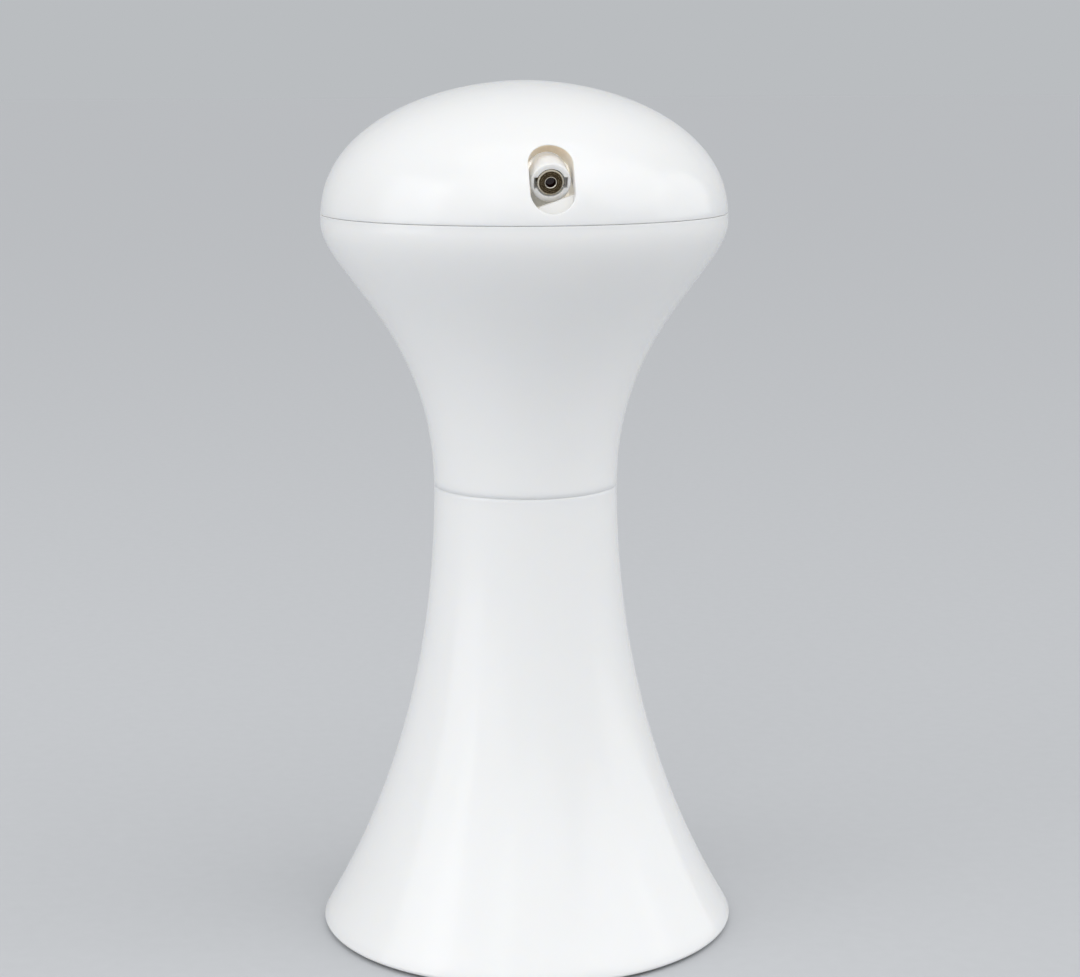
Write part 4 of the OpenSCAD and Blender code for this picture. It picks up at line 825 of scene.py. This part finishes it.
def dome():
    """The upper head shell: one net of rings from the slot's collar out to the seam and back."""
    seam_bottom = SEAM_Z + SEAM_GAP / 2
    outer = dome_rings(0, seam_bottom + SEAM_ROUND - WIDE_Z, OUTER_GROWS, 60)
    inner = dome_rings(WALL, seam_bottom - WIDE_Z, INNER_GROWS, 40)
    wall = [dome_hit(s, u) for s, u in slot_outline(0)]
    below = [p - SLOT_ROUND * EDGE_DEPTH * SLOT_AXIS for p in wall]
    edge = rounded_edge(outer[0], wall, below, 6)[:-1]
    wall_end = []
    collar_end = []
    for (side, up), (side_out, up_out) in zip(slot_outline(0), slot_outline(COLLAR_T)):
        side_reach = HOOD_IN * min(max((up - HOOD_FROM) / HOOD_RAMP, 0), 1)
        reach = min(side_reach, HOOD_IN - HOOD_CUT_SLOPE * (up - HOOD_CUT_FROM))
        wall_end.append(dome_hit(side, up, WALL + reach))
        collar_end.append(dome_hit(side_out, up_out, WALL + reach))
    seam_r = dome_radius(SEAM_UP)
    rounding = []
    for i in range(1, SEAM_STEPS + 1):
        a = math.radians(90 / SEAM_STEPS * i)
        shrink = (seam_r - SEAM_ROUND * (1 - math.cos(a))) / seam_r
        z = seam_bottom + SEAM_ROUND * (1 - math.sin(a))
        rounding.append([Vector((p.x * shrink, p.y * shrink, z)) for p in outer[-1]])
    rings = [wall_end] + edge + outer + rounding + list(reversed(inner)) + [collar_end]
    verts, faces = skin(rings)
    # the rows of faces on the slot's wall, the start of its rounded edge, and the hood's end, which take the
    # slot wall's material with its painted warm shade
    wall_rows = {0, 1, 2, len(rings) - 1}
    return verts, faces, [int(k // SLOT_POINTS in wall_rows) for k in range(len(faces))]


SILL_MID_UP = 6.78
SILL_SLOPE = 0.34
SILL_FROM_X = -2.9
SILL_TO_X = 7.0
SILL_T = 1.2
SILL_LAP = 1.5
SILL_CHAMFER = 0.1
SILL_SECTIONS = 24


def slot_sill():
    """A lip on the tongue behind the slot. It closes the view below the laser's sleeve."""
    inside = inset(dome_outline(), WALL + 2 * RUN)
    low = SEAM_Z + TONGUE_H - SILL_LAP
    sections = []
    for i in range(SILL_SECTIONS + 1):
        x = SILL_FROM_X + (SILL_TO_X - SILL_FROM_X) * i / SILL_SECTIONS
        high = max(WIDE_Z + SILL_MID_UP + SILL_SLOPE * x, SEAM_Z + TONGUE_H + RUN)
        heights = [low + (high - SILL_CHAMFER - low) * j / 5 for j in range(6)]
        face = [(radius_at(inside, z), z) for z in heights]
        face.append((radius_at(inside, high) - SILL_CHAMFER, high))
        back = [(r - SILL_T, z) for r, z in reversed(face)]
        sections.append([Vector((x, -math.sqrt(r * r - x * x), z)) for r, z in face + back])
    return skin(sections, closed=False)


piece("base_shell_moulding", base_shell(), "base", "white_abs", ["base_shell"], [GLOSS_ABS])
piece("head_shell_moulding", head_shell(), "head", "white_abs", ["head_shell"], [GLOSS_ABS])
piece("dome_moulding", dome(), "head", "white_abs", ["dome_cover"], [GLOSS_ABS, slot_wall_painted_shade()])
piece("slot_sill_moulding", slot_sill(), "head", "white_abs", materials=[SILL_ABS])


# ---- Laser: sleeve, barrel and lens on the beam's axis, with the front face at zero ----

SLEEVE_R = 4.62
SLEEVE_REAR_R = 3.8
SLEEVE_FRONT_L = 5.5
SLEEVE_L = 13.5
SLEEVE_BORE_R = 3.05
NOTCH_R = 3.85
NOTCH_HALF = 1.35
NOTCH_L = 3.0
MOUTH_R = 3.3
MOUTH_L = 1.4
BARREL_R = 3.0
BARREL_L = 10.5
BARREL_IN = 0.3
APERTURE_R = 1.2
TRUNNION_R = 1.5
TRUNNION_X = 7.1
TRUNNION_CHAMFER = 0.2
LEAD_R = 0.8
LEAD_CHAMFER = 0.15
SLEEVE_ROUND = 0.35
SLEEVE_CHAMFER = 0.2
STEP_CHAMFER = 0.15
MOUTH_CHAMFER = 0.1
BARREL_WALL = 0.7
FACE_T = 0.8
LENS_BACK = -1.7
LENS_EDGE = -1.06
LENS_CROWN = 0.24


def notched_radius(turn, bore):
    """Radius of a bore with the sleeve's two notches, at 3 and at 9 o'clock."""
    across, up = abs(math.cos(turn)), abs(math.sin(turn))
    if up * NOTCH_R <= across * NOTCH_HALF:
        return NOTCH_R / across
    if up * bore < NOTCH_HALF:
        return NOTCH_HALF / up
    return bore


def laser_sleeve():
    """The sleeve round the barrel, with its notched mouth and its two trunnions."""
    corners = (math.atan2(NOTCH_HALF, NOTCH_R), math.asin(NOTCH_HALF / SLEEVE_BORE_R),
               math.asin(NOTCH_HALF / MOUTH_R))
    exact = [s + t * c for s in (0, math.pi) for c in corners for t in (-1, 1)]
    even = [TURN * i / 160 for i in range(160)]
    turns = sorted(set(round(a % TURN, 5) for a in even + exact))

    def ring(radius, z):
        return [Vector((radius * math.cos(a), radius * math.sin(a), z)) for a in turns]

    def bore(radius, grow, z):
        return [Vector(((notched_radius(a, radius) + grow) * math.cos(a),
                        (notched_radius(a, radius) + grow) * math.sin(a), z)) for a in turns]

    back = [(SLEEVE_BORE_R, MOUTH_CHAMFER - SLEEVE_L), (SLEEVE_BORE_R + MOUTH_CHAMFER, -SLEEVE_L),
            (SLEEVE_REAR_R - SLEEVE_CHAMFER, -SLEEVE_L), (SLEEVE_REAR_R, SLEEVE_CHAMFER - SLEEVE_L),
            (SLEEVE_REAR_R, -SLEEVE_FRONT_L), (SLEEVE_R - STEP_CHAMFER, -SLEEVE_FRONT_L),
            (SLEEVE_R, STEP_CHAMFER - SLEEVE_FRONT_L)]
    front = arc((SLEEVE_R - SLEEVE_ROUND, -SLEEVE_ROUND), SLEEVE_ROUND, 0, 90, 6)
    rings = [ring(*p) for p in back + front]
    rings += [bore(MOUTH_R, MOUTH_CHAMFER, 0), bore(MOUTH_R, 0.03, -0.03),
              bore(MOUTH_R, 0, -MOUTH_CHAMFER), bore(MOUTH_R, 0, -MOUTH_L), bore(SLEEVE_BORE_R, 0, -MOUTH_L),
              bore(SLEEVE_BORE_R, 0, -NOTCH_L), ring(SLEEVE_BORE_R, -NOTCH_L - 0.02)]
    across = Matrix.Translation((0, 0, -PIVOT_BACK)) @ Matrix.Rotation(math.pi / 2, 4, "Y")
    inner = SLEEVE_REAR_R - 0.5
    outside = [(TRUNNION_R, inner), (TRUNNION_R, TRUNNION_X - TRUNNION_CHAMFER),
               (TRUNNION_R - TRUNNION_CHAMFER, TRUNNION_X)]
    plain = turned([(0, inner)] + outside + [(0, TRUNNION_X)], 48)
    # the laser's leads leave through one trunnion
    bored = turned([(LEAD_R, inner)] + outside
                   + [(LEAD_R + LEAD_CHAMFER, TRUNNION_X), (LEAD_R, TRUNNION_X - LEAD_CHAMFER)], 48)
    return moved(together(skin(rings), moved(plain, across),
                          moved(bored, across @ Matrix.Rotation(math.pi, 4, "Y"))), ALONG_LASER)


# Rows of faces on the barrel's two broken edges, counted from the aperture
BARE_EDGES = (0, 1, 7)
IN_SLEEVE = ALONG_LASER @ Matrix.Translation((0, 0, -BARREL_IN))


def laser_barrel():
    """The barrel is browned all over, and then its two edges are broken and show bare brass."""
    # a raised ring round the aperture, a fine groove round that, and the broken outer edge
    face = [(APERTURE_R, -0.07), (APERTURE_R + 0.06, 0), (APERTURE_R + 0.15, 0),
            (APERTURE_R + 0.19, -0.05), (APERTURE_R + 0.4, -0.05), (APERTURE_R + 0.44, -0.01),
            (BARREL_R - 0.32, -0.01), (BARREL_R - 0.3, 0), (BARREL_R, -0.3)]
    back = [(BARREL_R, 0.15 - BARREL_L), (BARREL_R - 0.15, -BARREL_L),
            (BARREL_R - BARREL_WALL, -BARREL_L), (BARREL_R - BARREL_WALL, -FACE_T), (APERTURE_R, -FACE_T)]
    verts, faces = moved(turned(face + back, 128), IN_SLEEVE)
    return verts, faces, [int(k % len(face + back) in BARE_EDGES) for k in range(len(faces))]


def laser_lens():
    """A plano-convex lens whose crown looks out of the aperture."""
    rim = BARREL_R - 0.73
    crown = [(rim * (1 - i / 10), LENS_EDGE + LENS_CROWN * math.sin(math.pi / 2 * i / 10))
             for i in range(11)]
    return moved(turned([(0, LENS_BACK), (rim, LENS_BACK)] + crown, 64), IN_SLEEVE)


piece("laser_sleeve_moulding", laser_sleeve(), "laser", "white_abs", ["laser_sleeve"], [SLEEVE_ABS])
piece("laser_barrel_turned", laser_barrel(), "laser", "brass", ["laser_barrel"],
      [browned_brass(), BARE_BRASS])
piece("laser_lens_crowned", laser_lens(), "laser", "lens_glass", ["laser_lens"])
# the yoke's material has a painted glow, an emission that lightens its shade
eased("laser_yoke", "laser_yoke_moulding", 0.2, "head", "ivory_pom", [acetal_painted_glow()])


# ---- Power button and status light ----

BUTTON_R = 5.5
BUTTON_PROUD = 0.8
BUTTON_ROUND = 0.6
THUMB_R = 4.3
THUMB_DEPTH = 0.35
FLANGE_R = 6.9
FLANGE_Z = -4.1
FLANGE_T = 0.8
FLANGE_CHAMFER = 0.15
STEM_R = 1.5
STEM_DOWN = 1.8
LIGHT_R = 1.5
LIGHT_SINK = 0.2
LIGHT_CROWN = 0.35
BOARD_DEPTH = 9.5


def power_button():
    """A cap with a shallow thumb dish, its flange behind the shell and the stem to the switch."""
    dish = [(THUMB_R * i / 12, BUTTON_PROUD - THUMB_DEPTH * math.cos(math.pi / 2 * i / 12) ** 2)
            for i in range(13)]
    centre = (BUTTON_R - BUTTON_ROUND, BUTTON_PROUD - BUTTON_ROUND)
    shoulder = arc(centre, BUTTON_ROUND, 90, 0, 7)
    below = [(BUTTON_R, FLANGE_Z), (FLANGE_R - FLANGE_CHAMFER, FLANGE_Z),
             (FLANGE_R, FLANGE_Z - FLANGE_CHAMFER), (FLANGE_R, FLANGE_Z - FLANGE_T),
             (STEM_R, FLANGE_Z - FLANGE_T), (STEM_R, FLANGE_Z - STEM_DOWN), (0, FLANGE_Z - STEM_DOWN)]
    return moved(turned(dish + shoulder + below, 96), ON_BACK)


def status_light():
    """A light guide from the board to the shell, with a low dome outside."""
    start = ON_BACK @ Vector((0, LIGHT_UP, 0))
    surface = line_hit(start, BACK_AXIS, lambda p: math.hypot(p.x, p.y) > flare_radius(p.z))
    shoulder = (surface - start).length - LIGHT_SINK
    crown = [(LIGHT_R * math.cos(math.pi / 2 * i / 8),
              shoulder + LIGHT_CROWN * math.sin(math.pi / 2 * i / 8)) for i in range(9)]
    outline = [(0, -BOARD_DEPTH), (LIGHT_R, -BOARD_DEPTH)] + crown
    return moved(turned(outline, 48), ON_BACK @ Matrix.Translation((0, LIGHT_UP, 0)))


piece("power_button_cap", power_button(), "button", "button_plastic", ["power_button"])
piece("status_light_guide", status_light(), "base", "light_guide", ["status_light"])


# ---- Underside: plate, door, feet and screws ----

PLATE_Z = SHELL_Z + 0.3
DOOR_AXIS_X = -26.65
DOOR_X = 27.35
DOOR_HALF = 29.5
DOOR_T = 2.0
DOOR_PIN_R = 0.6
DOOR_PIN_OUT = 1.3
SCOOP_IN = 8
# The thumb scoop's cutter, as (radius, place along its axis), and how far that is below the door
SCOOP_OUTLINE = [(0, -9.5), (4, -9.5), (5.6, -8), (6, 0), (5.6, 8), (4, 9.5), (0, 9.5)]
SCOOP_BELOW = 5.05
GRIP_COUNT = 4
GRIP_STEP = 1.6
GRIP_HALF = (0.35, 6.5)
GRIP_UP = (0.15, 1.2)
FOOT_R = 4.5
FOOT_H = 1.9
FOOT_ROUND = 0.6
FOOT_RING = [(2.2, 0), (2.35, 0.2), (2.75, 0.2), (2.9, 0)]
SCREW_HEAD_R = 2.6
SCREW_R = 1.04
SCREW_HEAD_T = 1.0
SCREW_L = 9.0
CROSS_HALF = (1.5, 0.33)
CROSS_IN = 0.55


def battery_door():
    """The door with its hinge barrel and pins, and a thumb scoop with four grip ribs."""
    low = PLATE_Z
    door = block((DOOR_AXIS_X, -DOOR_HALF, low), (DOOR_X, DOOR_HALF, low + DOOR_T))
    along_y = (Matrix.Translation((DOOR_AXIS_X, -DOOR_HALF, low + DOOR_T / 2))
               @ Matrix.Rotation(-math.pi / 2, 4, "X"))
    barrel = moved(rod(DOOR_T / 2, 2 * DOOR_HALF, 40), along_y)
    pins = moved(rod(DOOR_PIN_R, 2 * DOOR_HALF + 2 * DOOR_PIN_OUT, 32),
                 Matrix.Translation((0, -DOOR_PIN_OUT, 0)) @ along_y)
    scoop_at = DOOR_X - SCOOP_IN
    scoop = moved(turned(SCOOP_OUTLINE, 64), Matrix.Translation((scoop_at, 0, low - SCOOP_BELOW))
                  @ Matrix.Rotation(math.pi / 2, 4, "X"))
    steps = [("UNION", barrel), ("UNION", pins), ("DIFFERENCE", scoop)]
    across, along = GRIP_HALF
    for i in range(GRIP_COUNT):
        x = scoop_at - GRIP_STEP * (GRIP_COUNT - 1) / 2 + GRIP_STEP * i
        steps.append(("UNION", block((x - across, -along, low + GRIP_UP[0]),
                                     (x + across, along, low + GRIP_UP[1]))))
    return carved(door, steps)


def rubber_foot():
    """A pad with a rounded edge and a shallow ring, standing on the floor."""
    edge = arc((FOOT_R - FOOT_ROUND, FOOT_ROUND), FOOT_ROUND, -90, 0, 6)
    return turned([(0, 0)] + FOOT_RING + edge + [(FOOT_R, FOOT_H), (0, FOOT_H)], 64)


def plate_screw():
    """A flat-headed screw with a cross recess, its head looking down."""
    head = [(0, 0), (SCREW_HEAD_R - 0.35, 0), (SCREW_HEAD_R - 0.1, 0.12), (SCREW_HEAD_R, 0.35),
            (SCREW_HEAD_R, SCREW_HEAD_T), (SCREW_R, SCREW_HEAD_T), (SCREW_R, SCREW_L - 0.4),
            (0.5, SCREW_L), (0, SCREW_L)]
    along, across = CROSS_HALF
    bar = block((-along, -across, -0.5), (along, across, CROSS_IN))
    steps = [("DIFFERENCE", moved(bar, Matrix.Rotation(turn, 4, "Z"))) for turn in (0, math.pi / 2)]
    return carved(turned(head, 48), steps)


def at_places(shape, places):
    """Copies of a shape as one, each shifted to its place."""
    return together(*[moved(shape, Matrix.Translation(p)) for p in places])


foot_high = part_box("rubber_feet")[1]
foot_x = foot_high.x / MM - FOOT_R
foot_y = foot_high.y / MM - FOOT_R
FEET = [(x, y, 0) for x in (-foot_x, foot_x) for y in (-foot_y, foot_y)]
screw_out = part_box("base_screws")[1].x / MM - SCREW_HEAD_R
SCREWS = [(screw_out, 0, PLATE_Z), (-screw_out, 0, PLATE_Z),
          (0, screw_out, PLATE_Z), (0, -screw_out, PLATE_Z)]

eased("base_plate", "base_plate_moulding", 0.2, "base", "white_abs")
piece("battery_door_moulding", battery_door(), "door", "white_abs", ["battery_door"], ease=0.15)
piece("rubber_feet_pads", at_places(rubber_foot(), FEET), "base", "rubber", ["rubber_feet"])
piece("base_screws_cross", at_places(plate_screw(), SCREWS), "base", "steel", ["base_screws"], ease=0.05)


# ---- Stage, camera and light ----

PHOTO_W = 1080
FOCAL_PX = 2359.9
SENSOR_MM = 36
CAMERA_OUT = 576.8
CAMERA_UP = 215.6
CAMERA_TURN = math.radians(-7.75)
CAMERA_DOWN = math.radians(10.39)
AXIS_LEFT_PX = 14.8
CAMERA_ROLL = -0.0029


def place_camera():
    """The camera that the toy's outline in the photograph gives."""
    data = bpy.data.cameras.new("photo_camera")
    data.sensor_width = SENSOR_MM
    data.lens = FOCAL_PX / PHOTO_W * SENSOR_MM
    camera = added("photo_camera", data)
    yaw = CAMERA_TURN - math.atan(AXIS_LEFT_PX / FOCAL_PX)
    place = Vector((CAMERA_OUT * math.sin(CAMERA_TURN), -CAMERA_OUT * math.cos(CAMERA_TURN),
                    SHELL_Z + CAMERA_UP))
    camera.matrix_world = (Matrix.Translation(place * MM) @ Matrix.Rotation(yaw, 4, "Z")
                           @ Matrix.Rotation(math.pi / 2 - CAMERA_DOWN, 4, "X")
                           @ Matrix.Rotation(CAMERA_ROLL, 4, "Z"))
    bpy.context.scene.camera = camera


BACKDROP = "#BABDC0"
SURROUND = 0.62
FLOOR_REACH = 12000
# A sun lights by its direction alone, so its distance is only a place to put it, in metres
KEY_OUT = 1.5
KEY_SPREAD = math.radians(50)
TOY_MIDDLE = Vector((0, 0, 0.12))


def make_floor():
    """Pale matt card that reaches far behind the toy and meets a surround of its own colour."""
    material, tree, place = new_material("pale_card")
    fibre = node(tree, "TexNoise", {"Scale": per_mm(4), "Detail": 3.0}, {"Vector": place})
    finish_material(material, {"Roughness": 1.0, "Specular IOR Level": 0.0}, "#C9CBCE", "#CDCFD2", fibre)
    far = FLOOR_REACH
    corners = [(-far, -far, 0), (far, -far, 0), (far, far, 0), (-far, far, 0)]
    floor = loose("floor", corners, [(0, 1, 2, 3)])
    floor.data.materials.append(material)


def aim(light, place):
    """Puts a lamp at a place in metres, looking at the toy's middle."""
    light.location = place
    light.rotation_euler = (TOY_MIDDLE - Vector(place)).to_track_quat("-Z", "Y").to_euler()


def softbox(name, place, width, height, power):
    """A lamp with a flat front, in metres and watts."""
    data = bpy.data.lights.new(name, "AREA")
    data.shape = "RECTANGLE"
    data.size = width
    data.size_y = height
    data.energy = power
    aim(added(name, data), place)


def high_key(name, turn, up, strength):
    """A big soft source far away, turned from the front to the right, in degrees."""
    data = bpy.data.lights.new(name, "SUN")
    data.energy = strength
    data.angle = KEY_SPREAD
    turn, up = math.radians(turn), math.radians(up)
    place = (KEY_OUT * math.sin(turn) * math.cos(up), -KEY_OUT * math.cos(turn) * math.cos(up),
             KEY_OUT * math.sin(up))
    aim(added(name, data), place)


def light_stage():
    """Soft studio light: high keys on both sides, softboxes above and beside, an even surround."""
    high_key("left_key", -45, 30, 0.36)
    high_key("front_key", 0, 40, 0.28)
    high_key("right_key", 60, 40, 0.5)
    high_key("right_low", 95, 12, 0.42)
    softbox("top_softbox", (0, -0.35, 1.1), 1.0, 0.8, 1.4)
    softbox("left_softbox", (-1.1, -0.3, 0.5), 0.8, 1.1, 2.6)
    world = bpy.data.worlds.new("surround")
    world.use_nodes = True
    tree = world.node_tree
    tree.nodes.clear()
    even = node(tree, "Background", {"Color": srgb("#FCFDFE"), "Strength": SURROUND})
    seen = node(tree, "Background", {"Color": srgb(BACKDROP), "Strength": 1.0})
    rays = node(tree, "LightPath")
    direct = node(tree, "Math", {"operation": "MAXIMUM"},
                  {0: rays.outputs["Is Camera Ray"], 1: rays.outputs["Is Glossy Ray"]})
    shown = node(tree, "Math", {"operation": "MAXIMUM"},
                 {0: direct, 1: rays.outputs["Is Transmission Ray"]})
    mix = node(tree, "MixShader", links={0: shown, 1: even, 2: seen})
    node(tree, "OutputWorld", links={"Surface": mix})
    bpy.context.scene.world = world


make_floor()
place_camera()
light_stage()
bpy.context.scene.view_settings.view_transform = "Standard"
